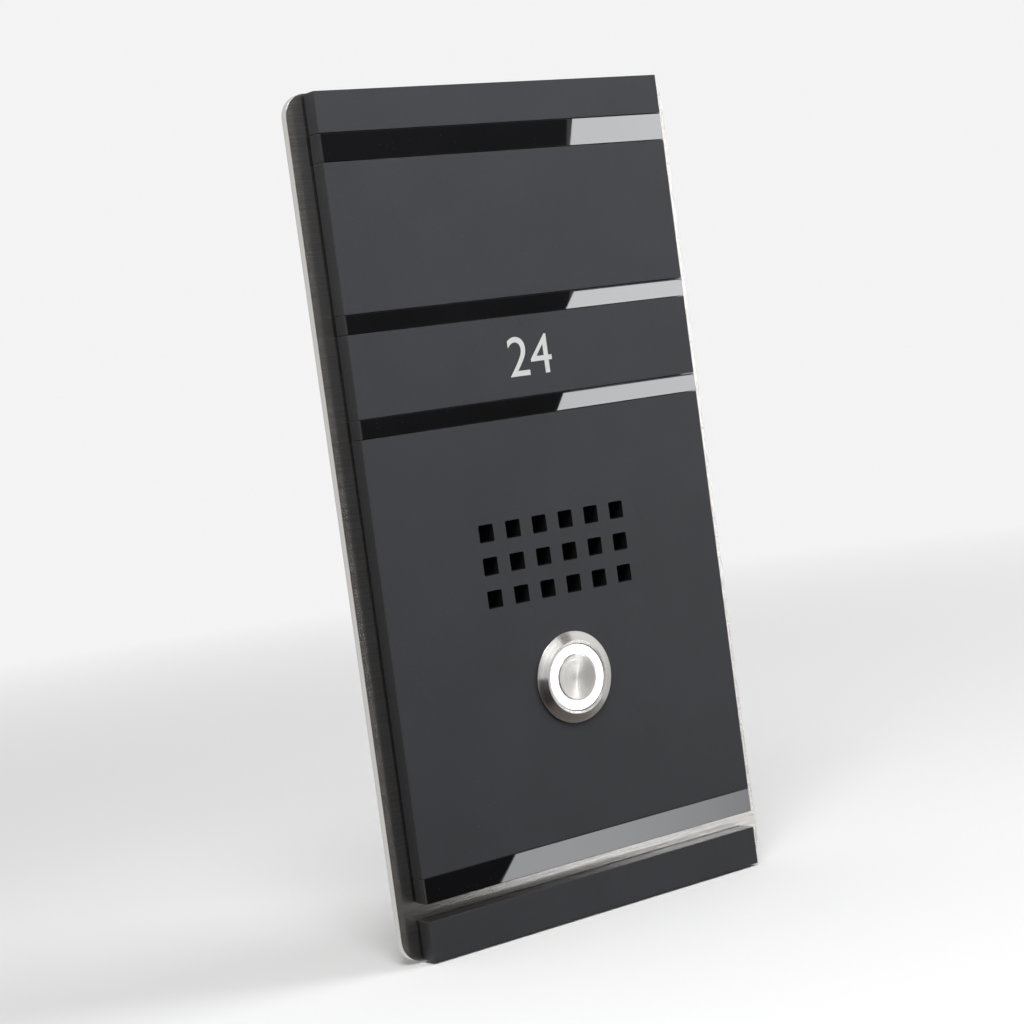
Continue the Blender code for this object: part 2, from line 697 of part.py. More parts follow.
def make_speaker_frame(axis):
    """Gasket, pressed basket with windows in its cone, and the pot magnet with its ring gap."""
    outer = SPEAKER_RADIUS - SEAT
    ring("speaker_gasket", outer - SPEAKER_GASKET_WIDTH, outer, GASKET_FRONT, GASKET_REAR, "foam", axis)
    flange_rear = BASKET_FRONT + BASKET_SHEET
    seat_front = BASKET_REAR - BASKET_SHEET
    seat_radius = MAGNET_RADIUS + BASKET_SHEET
    coil_hole = COIL_RADIUS + BASKET_SHEET + SLIP
    section = (
        (BASKET_BORE, BASKET_FRONT),
        (SPEAKER_RADIUS, BASKET_FRONT),
        (SPEAKER_RADIUS, flange_rear),
        (BASKET_BORE + BASKET_SHEET, flange_rear),
        (seat_radius, seat_front),
        (seat_radius, BASKET_REAR),
        (coil_hole, BASKET_REAR),
        (coil_hole, seat_front),
        (seat_radius - BASKET_SHEET, seat_front),
        (BASKET_BORE, flange_rear),
    )
    basket = turned("speaker_basket", section, "zinc", axis)
    window_front = flange_rear + BASKET_SHEET
    window_rear = seat_front - BASKET_SHEET
    reach = BASKET_BORE + BASKET_SHEET
    for number in range(BASKET_WINDOWS):
        size = (reach, window_rear - window_front, BASKET_WINDOW_WIDTH)
        middle = (reach / 2 + coil_hole, (window_front + window_rear) / 2, 0)
        window = block(f"basket_window_{number}", size, middle, None)
        window.parent = axis
        window.rotation_euler = (0, 2 * math.pi * (number + 0.5) / BASKET_WINDOWS, 0)
        boolean(basket, window, "DIFFERENCE")
    pole = COIL_RADIUS - COIL_WALL - SLIP
    gap = COIL_RADIUS + SLIP
    magnet = (
        (0, MAGNET_FRONT),
        (pole, MAGNET_FRONT),
        (pole, MAGNET_GAP_FLOOR),
        (gap, MAGNET_GAP_FLOOR),
        (gap, MAGNET_FRONT),
        (MAGNET_RADIUS, MAGNET_FRONT),
        (MAGNET_RADIUS, MAGNET_REAR),
        (0, MAGNET_REAR),
    )
    turned("speaker_magnet", magnet, "ferrite", axis)


def make_speaker_cone(axis):
    """Cone with its dust cap, the voice coil on its neck, and the rolled surround."""
    neck = COIL_RADIUS + CONE_SHEET
    neck_inner = COIL_RADIUS - COIL_WALL - CONE_SHEET / 2
    lip = CONE_RADIUS - BASKET_SHEET
    dome_front = CONE_FRONT + CONE_DEPTH / 2
    cone_floor = CONE_FRONT + CONE_DEPTH - CONE_SHEET
    section = (
        (0, dome_front),
        (neck_inner, dome_front + CONE_SHEET),
        (neck, cone_floor),
        (lip, CONE_FRONT),
        (CONE_RADIUS, CONE_FRONT),
        (CONE_RADIUS, CONE_FRONT + CONE_SHEET),
        (lip + CONE_SHEET / 2, CONE_FRONT + CONE_SHEET),
        (neck + CONE_SHEET / 2, cone_floor + CONE_SHEET),
        (neck, NECK_REAR),
        (neck_inner, NECK_REAR),
        (neck_inner, dome_front + 2 * CONE_SHEET),
        (0, dome_front + CONE_SHEET),
    )
    turned("speaker_cone", section, "paper", axis)
    ring("voice_coil", COIL_RADIUS - COIL_WALL, COIL_RADIUS, COIL_FRONT, COIL_REAR, "copper", axis)
    inner = CONE_RADIUS + SEAT
    roll = []
    for step in range(ROLL_STEPS + 1):
        share = step / ROLL_STEPS
        rise = SURROUND_ROLL * math.sin(math.pi * share)
        roll.append((inner + share * SURROUND_WIDTH, CONE_FRONT - rise))
    back = [(radius, y + SURROUND_SHEET) for radius, y in reversed(roll)]
    turned("speaker_surround", roll + back, "rubber", axis)


def make_microphone():
    """Capsule in a rubber boot behind the last column of holes."""
    axis = axis_at("microphone_axis", MICROPHONE_X, GRID_Z)
    front = GASKET_FRONT
    lip_rear = front + BOOT_LIP
    hole = MICROPHONE_RADIUS / 2
    bore = MICROPHONE_RADIUS + SEAT
    boot = (
        (hole, front),
        (BOOT_RADIUS, front),
        (BOOT_RADIUS, front + BOOT_DEPTH),
        (bore, front + BOOT_DEPTH),
        (bore, lip_rear),
        (hole, lip_rear),
    )
    turned("microphone_boot", boot, "rubber", axis, SMALL_TURN_STEPS)
    capsule_front = lip_rear + SEAT
    capsule_rear = capsule_front + MICROPHONE_DEPTH
    rim = MICROPHONE_RADIUS - BOOT_LIP / 2
    capsule = (
        (0, capsule_front),
        (MICROPHONE_RADIUS, capsule_front),
        (MICROPHONE_RADIUS, capsule_rear),
        (rim, capsule_rear),
        (rim, capsule_rear - BOOT_LIP / 2),
        (0, capsule_rear - BOOT_LIP / 2),
    )
    turned("microphone", capsule, "zinc", axis, SMALL_TURN_STEPS)


# Module, depths from the plate inwards
HOUSING_INNER_REAR = MAGNET_REAR + HOUSING_REAR_ROOM
HOUSING_REAR = HOUSING_INNER_REAR + HOUSING_WALL
BOARD_FRONT = BEHIND_PLATE + BOARD_DEPTH
BOARD_REAR = BOARD_FRONT + BOARD_THICKNESS
ON_BOARD = BOARD_REAR + SEAT
BOARD_Z = (BOARD_BOTTOM + BOARD_TOP) / 2
EAR_REAR = BEHIND_PLATE + EAR_THICKNESS
EAR_X = HOUSING_WIDTH / 2 + EAR_REACH / 2
BLOCK_Z = BOARD_TOP - BLOCK_BELOW_BOARD_TOP - BLOCK_HEIGHT / 2
BLOCK_WIDTH = BLOCK_WAYS * BLOCK_PITCH
BLOCK_REAR = HOUSING_REAR + BLOCK_PROUD


def boss_places():
    """Middles of the posts under the board's corners, the two with screws first."""
    x = BOARD_WIDTH / 2 - BOSS_INSET
    low = BOARD_BOTTOM + BOSS_INSET
    high = BOARD_TOP - BOSS_INSET
    return (-x, high), (x, low), (x, high), (-x, low)


def make_module_housing():
    """Tub with its open side to the plate, an ear on each side, board posts and a terminal window."""
    height = HOUSING_TOP - HOUSING_BOTTOM
    outline = rectangle(HOUSING_WIDTH, height, 0, HOUSING_Z, HOUSING_CORNER_RADIUS)
    housing = prism("module_housing", outline, BEHIND_PLATE, HOUSING_REAR, "plastic")
    for name, side in (("ear_left", -1), ("ear_right", 1)):
        depth = EAR_REAR - BEHIND_PLATE
        size = (EAR_REACH + 2 * HOUSING_WALL, depth, EAR_HEIGHT)
        x = side * (EAR_X - HOUSING_WALL)
        ear = block(name, size, (x, BEHIND_PLATE + depth / 2, HOUSING_Z), None)
        boolean(housing, ear, "UNION")
    inside = rectangle(
        HOUSING_WIDTH - 2 * HOUSING_WALL,
        height - 2 * HOUSING_WALL,
        0,
        HOUSING_Z,
        HOUSING_CORNER_RADIUS - HOUSING_WALL,
    )
    hollow = prism("housing_hollow", inside, BEHIND_PLATE - CUTTER_SPARE, HOUSING_INNER_REAR, None)
    boolean(housing, hollow, "DIFFERENCE")
    for number, (x, z) in enumerate(boss_places()):
        post = circle(BOSS_RADIUS, x, z, SMALL_TURN_STEPS)
        boss = prism(f"board_post_{number}", post, ON_BOARD, HOUSING_INNER_REAR + SLIP, None)
        boolean(housing, boss, "UNION")
    for number, (x, z) in enumerate(boss_places()[:2]):
        hole = circle(BOARD_SCREW_RADIUS + SEAT, x, z, SMALL_TURN_STEPS)
        floor = BOARD_FRONT + BOARD_SCREW_LENGTH + SLIP
        bore = prism(f"post_bore_{number}", hole, ON_BOARD - SLIP, floor, None)
        boolean(housing, bore, "DIFFERENCE")
    opening = rectangle(BLOCK_WIDTH + 2 * SLIP, BLOCK_HEIGHT + 2 * SLIP, 0, BLOCK_Z)
    window = prism("terminal_window", opening, HOUSING_INNER_REAR - SLIP, HOUSING_REAR + CUTTER_SPARE, None)
    boolean(housing, window, "DIFFERENCE")
    for name, side in (("stud_hole_left", -1), ("stud_hole_right", 1)):
        hole = circle(MODULE_STUD_RADIUS + SLIP, side * EAR_X, HOUSING_Z, SMALL_TURN_STEPS)
        bore = prism(name, hole, BEHIND_PLATE - CUTTER_SPARE, EAR_REAR + CUTTER_SPARE, None)
        boolean(housing, bore, "DIFFERENCE")


def make_module_fixings():
    """A welded stud and a nut for each ear."""
    nut_front = EAR_REAR + SEAT
    nut_rear = nut_front + MODULE_NUT_THICKNESS
    tip = nut_rear + MODULE_STUD_SPARE
    bevel = MODULE_STUD_RADIUS / 4
    section = (
        (0, BEHIND_PLATE),
        (MODULE_STUD_RADIUS, BEHIND_PLATE),
        (MODULE_STUD_RADIUS, tip - bevel),
        (MODULE_STUD_RADIUS - bevel, tip),
        (0, tip),
    )
    bore = MODULE_STUD_RADIUS + SEAT
    across = 2 * (bore + MODULE_NUT_WALL)
    for number, side in enumerate((-1, 1), 1):
        x = side * EAR_X
        axis = axis_at(f"module_stud_axis_{number}", x, HOUSING_Z)
        turned(f"module_stud_{number}", section, "zinc", axis, SMALL_TURN_STEPS)
        hole = circle(bore, x, HOUSING_Z, SMALL_TURN_STEPS)
        outline = hexagon(across, x, HOUSING_Z)
        cut_sheet(f"module_nut_{number}", outline, [hole], nut_front, nut_rear, "zinc")


def make_circuit_board():
    """Board on its posts with two screws, the amplifier chip and a capacitor."""
    outline = rectangle(BOARD_WIDTH, BOARD_HEIGHT, 0, BOARD_Z)
    places = boss_places()[:2]
    holes = [circle(BOARD_SCREW_RADIUS + SLIP, x, z, SMALL_TURN_STEPS) for x, z in places]
    cut_sheet("circuit_board", outline, holes, BOARD_FRONT, BOARD_REAR, "board")
    head_rear = BOARD_FRONT - SEAT
    head = BOARD_SCREW_RADIUS + BOARD_SCREW_HEAD
    section = (
        (0, head_rear - BOARD_SCREW_HEAD),
        (head, head_rear - BOARD_SCREW_HEAD),
        (head, head_rear),
        (BOARD_SCREW_RADIUS, head_rear),
        (BOARD_SCREW_RADIUS, head_rear + BOARD_SCREW_LENGTH),
        (0, head_rear + BOARD_SCREW_LENGTH),
    )
    for number, (x, z) in enumerate(places, 1):
        axis = axis_at(f"board_screw_axis_{number}", x, z)
        turned(f"board_screw_{number}", section, "zinc", axis, SMALL_TURN_STEPS)
    chip_x, chip_z = CHIP_PLACE
    chip_y = ON_BOARD + CHIP_SIZE[1] / 2
    block("audio_chip", CHIP_SIZE, (chip_x, chip_y, BOARD_BOTTOM + chip_z), "plastic")
    can_x, can_z = CAPACITOR_PLACE
    can = (
        (0, ON_BOARD),
        (CAPACITOR_RADIUS, ON_BOARD),
        (CAPACITOR_RADIUS, ON_BOARD + CAPACITOR_LENGTH),
        (0, ON_BOARD + CAPACITOR_LENGTH),
    )
    turned("capacitor", can, "zinc", axis_at("capacitor_axis", can_x, BOARD_BOTTOM + can_z))


def make_terminal_block():
    """Four-way screw terminal that reaches out through the housing's window."""
    size = (BLOCK_WIDTH, BLOCK_REAR - ON_BOARD, BLOCK_HEIGHT)
    body = block("terminal_block", size, (0, (ON_BOARD + BLOCK_REAR) / 2, BLOCK_Z), "block")
    well_floor = BLOCK_REAR - BLOCK_WELL_DEPTH
    mouth = BLOCK_REAR + CUTTER_SPARE
    screw_front = well_floor + SEAT
    screw_rear = screw_front + TERMINAL_SCREW_LENGTH
    radius = BLOCK_WELL_RADIUS - SEAT
    section = ((0, screw_front), (radius, screw_front), (radius, screw_rear), (0, screw_rear))
    for way in range(BLOCK_WAYS):
        x = (way - (BLOCK_WAYS - 1) / 2) * BLOCK_PITCH
        screw_z = BLOCK_Z - BLOCK_HEIGHT / 4
        well = circle(BLOCK_WELL_RADIUS, x, screw_z, SMALL_TURN_STEPS)
        boolean(body, prism(f"screw_well_{way}", well, well_floor, mouth, None), "DIFFERENCE")
        entry = rectangle(BLOCK_ENTRY, BLOCK_ENTRY, x, BLOCK_Z + BLOCK_HEIGHT / 4)
        boolean(body, prism(f"wire_entry_{way}", entry, well_floor, mouth, None), "DIFFERENCE")
        axis = axis_at(f"terminal_screw_axis_{way}", x, screw_z)
        screw = turned(f"terminal_screw_{way + 1}", section, "zinc", axis, SMALL_TURN_STEPS)
        slot_size = (2 * BLOCK_WELL_RADIUS, 2 * SCREW_SLOT, SCREW_SLOT)
        slot = block(f"screw_slot_{way}", slot_size, (0, screw_rear, 0), None)
        slot.parent = axis
        boolean(screw, slot, "DIFFERENCE")


def clear_scene():
    for item in list(bpy.data.objects):
        bpy.data.objects.remove(item)


def main():
    clear_scene()
    make_base_plate()
    make_front_pieces()
    make_tapes()
    make_wall_seals()
    make_wall_studs()
    button_axis = axis_at("button_axis", 0, BUTTON_Z)
    make_button_housing(button_axis)
    make_button_clamp(button_axis)
    make_button_mover(button_axis)
    make_return_spring(button_axis)
    make_switch(button_axis)
    speaker_axis = axis_at("speaker_axis", SPEAKER_X, SPEAKER_Z)
    make_sound_cloth()
    make_speaker_frame(speaker_axis)
    make_speaker_cone(speaker_axis)
    make_microphone()
    make_module_housing()
    make_module_fixings()
    make_circuit_board()
    make_terminal_block()


main()
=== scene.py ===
"""Door intercom panel: fine meshes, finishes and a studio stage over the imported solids.

Laid out as an add-on: sizes and colours are properties, and each group of pieces has its own operator.
Lengths are metres, +Z is up and -Y faces the visitor.
"""
import json
import math

import bmesh
import bpy
from bpy.props import FloatProperty, FloatVectorProperty, PointerProperty, StringProperty
from mathutils import Matrix, Vector


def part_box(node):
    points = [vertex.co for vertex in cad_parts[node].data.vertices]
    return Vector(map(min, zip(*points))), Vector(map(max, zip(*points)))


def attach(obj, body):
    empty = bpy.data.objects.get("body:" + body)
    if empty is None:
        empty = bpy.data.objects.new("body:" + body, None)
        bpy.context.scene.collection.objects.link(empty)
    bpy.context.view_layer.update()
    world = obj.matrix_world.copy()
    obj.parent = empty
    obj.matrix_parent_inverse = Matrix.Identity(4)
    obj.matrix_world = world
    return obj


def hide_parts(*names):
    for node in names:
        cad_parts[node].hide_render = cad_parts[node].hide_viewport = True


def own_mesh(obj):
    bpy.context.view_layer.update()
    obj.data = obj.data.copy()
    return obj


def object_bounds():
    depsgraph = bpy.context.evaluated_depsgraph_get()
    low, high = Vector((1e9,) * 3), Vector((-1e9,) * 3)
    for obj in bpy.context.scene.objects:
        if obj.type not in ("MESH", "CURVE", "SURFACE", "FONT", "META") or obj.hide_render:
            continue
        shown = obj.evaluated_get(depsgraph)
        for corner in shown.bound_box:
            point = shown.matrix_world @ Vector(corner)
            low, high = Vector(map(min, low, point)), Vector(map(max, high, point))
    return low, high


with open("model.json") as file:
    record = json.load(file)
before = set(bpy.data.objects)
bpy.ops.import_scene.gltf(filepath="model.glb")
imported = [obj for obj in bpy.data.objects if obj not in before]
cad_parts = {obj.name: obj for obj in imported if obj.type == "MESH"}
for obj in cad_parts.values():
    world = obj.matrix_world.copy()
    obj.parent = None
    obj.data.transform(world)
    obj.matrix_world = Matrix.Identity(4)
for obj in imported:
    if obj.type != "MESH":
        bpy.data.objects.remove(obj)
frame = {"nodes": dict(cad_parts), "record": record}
CAD_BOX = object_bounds()

bl_info = {
    "name": "Door Intercom Panel",
    "version": (1, 0, 0),
    "blender": (4, 5, 0),
    "location": "View3D > Sidebar > Door Panel",
    "description": "Dresses the door intercom panel's solids with fine meshes and finishes",
    "category": "Object",
}

RECORD = frame["record"]
SLOT_OF = {part["node"]: part["material_slot"] for part in RECORD["subparts"]}
BODY_OF = {node: body for body, nodes in RECORD["behaviour"]["bodies"].items() for node in nodes}
FLAT_PIECES = [
    node for node, slot in SLOT_OF.items() if slot in ("matt", "gloss") and node != "speaker_panel"
]
# Turns a flat mesh from the XY plane to the XZ plane
TURN_UP = Matrix.Rotation(math.pi / 2, 4, "X")
# Gap between pieces that touch, and the wider one round a piece that goes through a hole
SEAT = 0.00015
SLIP = 0.0003
# Width of the lock washer's ring
WASHER_WIDTH = 0.0016
# Steps round a turned piece
FINE = 128
# Points closer than this are one
MERGE = 1e-6


# Properties

def length(label, text, default):
    return FloatProperty(name=label, description=text, default=default, min=0.0, precision=5, unit="LENGTH")


def turn(label, text, degrees):
    return FloatProperty(name=label, description=text, default=math.radians(degrees), subtype="ANGLE")


def amount(label, text, default, unit="NONE"):
    return FloatProperty(name=label, description=text, default=default, unit=unit)


def shade(label, text, default):
    return FloatVectorProperty(
        name=label, description=text, default=default, size=3, min=0.0, max=1.0, subtype="COLOR"
    )


class DOORPANEL_PG_sizes(bpy.types.PropertyGroup):
    """Sizes of the fine detail. The main sizes come from the frame."""

    panel_edge: length("Panel edge", "Rounding along the edges of the front pieces", 0.00012)
    panel_end: length("Panel end", "Flat cut on the front pieces' front edges at left and right", 0.0003)
    plate_edge: length("Plate edge", "Rounding along the edges of the steel plate", 0.0002)
    plate_corner: length("Plate corner", "Radius of the steel plate's corners", 0.0055)
    sound_hole: length("Sound hole", "Width of a square sound hole in the speaker panel", 0.0042)
    sound_pitch: length("Sound hole pitch", "Distance between the middles of the sound holes", 0.0078)
    sound_height: length("Sound hole drop", "How far the sound holes' middle lies below the origin", 0.0129)
    plate_hole: length("Plate hole", "Width of a square sound hole in the steel plate", 0.0052)
    hole_corner: length("Hole corner", "Radius in the corners of the sound holes", 0.00035)
    barrel_pitch: length("Barrel pitch", "Thread pitch of the button's barrel", 0.001)
    stud_pitch: length("Stud pitch", "Thread pitch of the wall studs", 0.0007)
    module_pitch: length("Module stud pitch", "Thread pitch of the module's studs", 0.0005)
    bezel_rim: length("Bezel rim", "Width of the flat rim inside the bezel's cone", 0.00065)
    bezel_edge: length("Bezel edge", "Height of the bezel's upright edge", 0.0005)
    cap_dish: length("Cap dish", "Depth of the shallow dish in the button's cap", 0.00015)
    housing_edge: length("Housing edge", "Rounding of the rear housing's outer edges", 0.0012)
    cloth_pitch: length("Cloth pitch", "Distance between threads of the sound cloth", 0.0009)
    number: StringProperty(name="House number", description="Plain number on the name panel", default="24")
    number_height: length("Number height", "Height of the house number's figures", 0.0094)


class DOORPANEL_PG_colours(bpy.types.PropertyGroup):
    """Base colours of the finishes."""

    matt: shade("Matt acrylic", "Satin anthracite front pieces", (0.0435, 0.0445, 0.0515))
    gloss: shade("Gloss acrylic", "Polished black strips", (0.0055, 0.0055, 0.0065))
    steel: shade("Steel", "Stainless plate, bezel and cap", (0.66, 0.64, 0.615))
    zinc: shade("Zinc", "Plated studs, nuts and screws", (0.62, 0.63, 0.62))
    lens: shade("Lens", "Lit ring", (0.92, 0.95, 1.0))
    plastic: shade("Plastic", "Moulded housing and switch base", (0.028, 0.028, 0.03))
    foam: shade("Foam", "Wall seal and gasket", (0.03, 0.03, 0.031))
    rubber: shade("Rubber", "Seals, boot and surround", (0.02, 0.02, 0.02))
    tape: shade("Tape", "Foam tape behind the front pieces", (0.012, 0.012, 0.012))
    copper: shade("Contacts", "Terminal blades, bridge and coil", (0.74, 0.46, 0.26))
    board: shade("Circuit board", "Green resist over glass fibre", (0.015, 0.13, 0.05))
    block: shade("Terminal block", "Moulded green terminal", (0.02, 0.20, 0.07))
    cloth: shade("Sound cloth", "Dust cloth behind the holes", (0.006, 0.006, 0.006))
    ferrite: shade("Magnet", "Sintered ferrite", (0.05, 0.05, 0.052))
    paper: shade("Cone", "Pressed paper cone", (0.06, 0.058, 0.055))
    paint: shade("Number paint", "House number", (0.83, 0.83, 0.82))


class DOORPANEL_PG_stage(bpy.types.PropertyGroup):
    """Camera and light."""

    lens: amount("Lens", "Focal length on a 36 mm sensor", 83.234, "CAMERA")
    heading: turn("Heading", "Camera's heading from +Y towards +X", 35.413)
    dip: turn("Dip", "How far the camera looks down", 3.347)
    roll: turn("Roll", "Camera's turn about its own line of sight", -7.741)
    distance: length("Distance", "From the camera to the point it aims at", 0.55937)
    aim: FloatVectorProperty(
        name="Aim", description="Point in the middle of the frame", subtype="XYZ",
        default=(-0.01136, -0.00815, -0.00117),
    )
    backdrop: shade("Backdrop", "Colour of the world behind the floor", (0.9, 0.9, 0.9))
    floor: shade("Floor", "Colour of the floor", (0.86, 0.86, 0.86))
    ambient: amount("Ambient", "Strength of the even light from above", 0.46)
    below: amount("Below", "Strength of the even light from below", 0.1)
    key: amount("Key", "Power of the soft lamp at the upper left", 1.9, "POWER")
    side: amount("Side", "Power of the lamp at the upper right", 6.0, "POWER")


# Node helpers

def node(tree, kind, inputs=(), **settings):
    """Adds a node, sets its options, and links or sets its inputs by name or number."""
    made = tree.nodes.new(kind)
    for key, value in settings.items():
        setattr(made, key, value)
    for key, value in dict(inputs).items():
        if isinstance(value, bpy.types.NodeSocket):
            tree.links.new(value, made.inputs[key])
        else:
            made.inputs[key].default_value = value
    return made


def maths(tree, operation, *values, clamp=False):
    """Output of a Math node."""
    return node(tree, "ShaderNodeMath", enumerate(values), operation=operation, use_clamp=clamp).outputs[0]


def between(tree, value, low, high, to_low=0.0, to_high=1.0):
    """A value mapped from one range to another and held inside it."""
    ends = {"Value": value, "From Min": low, "From Max": high, "To Min": to_low, "To Max": to_high}
    return node(tree, "ShaderNodeMapRange", ends).outputs["Result"]


def blended(tree, share, first, second):
    """A colour that goes from the first to the second."""
    return node(tree, "ShaderNodeMix", {0: share, 6: first, 7: second}, data_type="RGBA").outputs[2]


def object_place(tree):
    """Coordinates in the piece's own frame."""
    return node(tree, "ShaderNodeTexCoord").outputs["Object"]


def parts_of(tree, vector):
    """The X, Y and Z of a vector."""
    return node(tree, "ShaderNodeSeparateXYZ", {0: vector}).outputs


def facing_of(tree):
    """The X, Y and Z of the surface's normal."""
    return parts_of(tree, node(tree, "ShaderNodeNewGeometry").outputs["Normal"])


def vector_maths(tree, operation, *values):
    """Outputs of a Vector Math node."""
    return node(tree, "ShaderNodeVectorMath", enumerate(values), operation=operation).outputs


def tone(colour, share=1.0):
    """A colour made lighter or darker, for a colour socket."""
    return (*(share * part for part in colour), 1.0)


def open_tree(name, kind, inputs, outputs):
    """A node group with named sockets: its tree, its input sockets and its output node."""
    tree = bpy.data.node_groups.new(name, kind)
    for label, sort, value in inputs:
        socket = tree.interface.new_socket(name=label, in_out="INPUT", socket_type="NodeSocket" + sort)
        if value is not None:
            socket.default_value = value
    for label, sort in outputs:
        tree.interface.new_socket(name=label, in_out="OUTPUT", socket_type="NodeSocket" + sort)
    return tree, tree.nodes.new("NodeGroupInput").outputs, tree.nodes.new("NodeGroupOutput").inputs


def used(tree, group, **values):
    """A shader group placed in a material with its own values: its outputs."""
    made = tree.nodes.new("ShaderNodeGroup")
    made.node_tree = bpy.data.node_groups[group]
    for label, value in values.items():
        made.inputs[label].default_value = value
    return made.outputs


# Shader groups

def make_brushed_grain():
    """Fine lines along one direction, and broad streaks among them."""
    inputs = [("Stretch", "Vector", (40.0, 6000.0, 6000.0))]
    outputs = [("Height", "Float"), ("Streak", "Float")]
    tree, given, out = open_tree("brushed_grain", "ShaderNodeTree", inputs, outputs)
    along = vector_maths(tree, "MULTIPLY", object_place(tree), given["Stretch"])[0]
    fine = node(tree, "ShaderNodeTexNoise", {"Vector": along, "Scale": 1.0, "Detail": 3.0, "Roughness": 0.7})
    broad = node(tree, "ShaderNodeTexNoise", {"Vector": along, "Scale": 0.12, "Detail": 2.0})
    tree.links.new(fine.outputs[0], out["Height"])
    tree.links.new(between(tree, broad.outputs[0], 0.3, 0.7), out["Streak"])


def make_moulded_grain():
    """Grain of a moulded or satin surface, and slow changes of shade."""
    inputs = [("Scale", "Float", 5000.0)]
    outputs = [("Height", "Float"), ("Shade", "Float")]
    tree, given, out = open_tree("moulded_grain", "ShaderNodeTree", inputs, outputs)
    place = object_place(tree)
    fine = node(tree, "ShaderNodeTexNoise", {"Vector": place, "Scale": given["Scale"], "Detail": 2.0})
    slow = maths(tree, "MULTIPLY", given["Scale"], 0.012)
    cloudy = node(tree, "ShaderNodeTexNoise", {"Vector": place, "Scale": slow, "Detail": 3.0})
    tree.links.new(fine.outputs[0], out["Height"])
    tree.links.new(between(tree, cloudy.outputs[0], 0.3, 0.7), out["Shade"])


def make_dust_specks():
    """Sparse specks of dust, thicker in some places than in others."""
    inputs = [("Scale", "Float", 2500.0), ("Amount", "Float", 0.1)]
    tree, given, out = open_tree("dust_specks", "ShaderNodeTree", inputs, [("Mask", "Float")])
    place = object_place(tree)
    cells = node(tree, "ShaderNodeTexVoronoi", {"Vector": place, "Scale": given["Scale"]})
    drift = node(tree, "ShaderNodeTexNoise", {"Vector": place, "Scale": 45.0, "Detail": 2.0}).outputs[0]
    reach = maths(tree, "MULTIPLY", given["Amount"], between(tree, drift, 0.4, 0.65))
    chance = node(tree, "ShaderNodeSeparateColor", {"Color": cells.outputs["Color"]}).outputs[0]
    kept = maths(tree, "LESS_THAN", chance, reach)
    speck = between(tree, cells.outputs["Distance"], 0.32, 0.12)
    tree.links.new(maths(tree, "MULTIPLY", speck, kept), out["Mask"])


def make_turned_grooves():
    """Concentric tool marks round a line along Y."""
    inputs = [("Centre", "Vector", (0.0, 0.0, 0.0)), ("Scale", "Float", 9000.0)]
    outputs = [("Height", "Float"), ("Band", "Float")]
    tree, given, out = open_tree("turned_grooves", "ShaderNodeTree", inputs, outputs)
    arm = vector_maths(tree, "SUBTRACT", object_place(tree), given["Centre"])[0]
    flat = vector_maths(tree, "MULTIPLY", arm, (1.0, 0.0, 1.0))[0]
    radius = vector_maths(tree, "LENGTH", flat)["Value"]

    def rings(scale, detail):
        values = {"W": radius, "Scale": scale, "Detail": detail}
        return node(tree, "ShaderNodeTexNoise", values, noise_dimensions="1D").outputs[0]

    tree.links.new(rings(given["Scale"], 3.0), out["Height"])
    broad = rings(maths(tree, "MULTIPLY", given["Scale"], 0.14), 1.0)
    tree.links.new(between(tree, broad, 0.3, 0.7), out["Band"])


def make_cut_edges():
    """Mask of the sawn sides of a flat piece, whose front faces along Y."""
    tree, _, out = open_tree("cut_edges", "ShaderNodeTree", [], [("Mask", "Float")])
    depth = maths(tree, "ABSOLUTE", facing_of(tree)["Y"])
    tree.links.new(between(tree, depth, 0.25, 0.1), out["Mask"])


def make_pores():
    """Cells of an open foam or a sintered face."""
    inputs = [("Scale", "Float", 2200.0)]
    tree, given, out = open_tree("pores", "ShaderNodeTree", inputs, [("Height", "Float"), ("Shade", "Float")])
    place = object_place(tree)
    cells = node(tree, "ShaderNodeTexVoronoi", {"Vector": place, "Scale": given["Scale"]})
    rough = node(tree, "ShaderNodeTexNoise", {"Vector": place, "Scale": 320.0, "Detail": 4.0}).outputs[0]
    tree.links.new(cells.outputs["Distance"], out["Height"])
    tree.links.new(between(tree, rough, 0.3, 0.7), out["Shade"])


GROUP_MAKERS = (
    make_brushed_grain, make_moulded_grain, make_dust_specks, make_turned_grooves, make_cut_edges, make_pores
)


# Finishes

def start_finish(name, values):
    """A new material with plain values on its shader: its tree and the shader's inputs."""
    made = bpy.data.materials.new(name)
    made.use_nodes = True
    shader = made.node_tree.nodes["Principled BSDF"]
    for label, value in values.items():
        shader.inputs[label].default_value = value
    return made.node_tree, shader.inputs


def bumped(tree, height, strength, depth):
    """Normal of a surface raised by a height."""
    values = {"Height": height, "Strength": strength, "Distance": depth}
    return node(tree, "ShaderNodeBump", values).outputs[0]


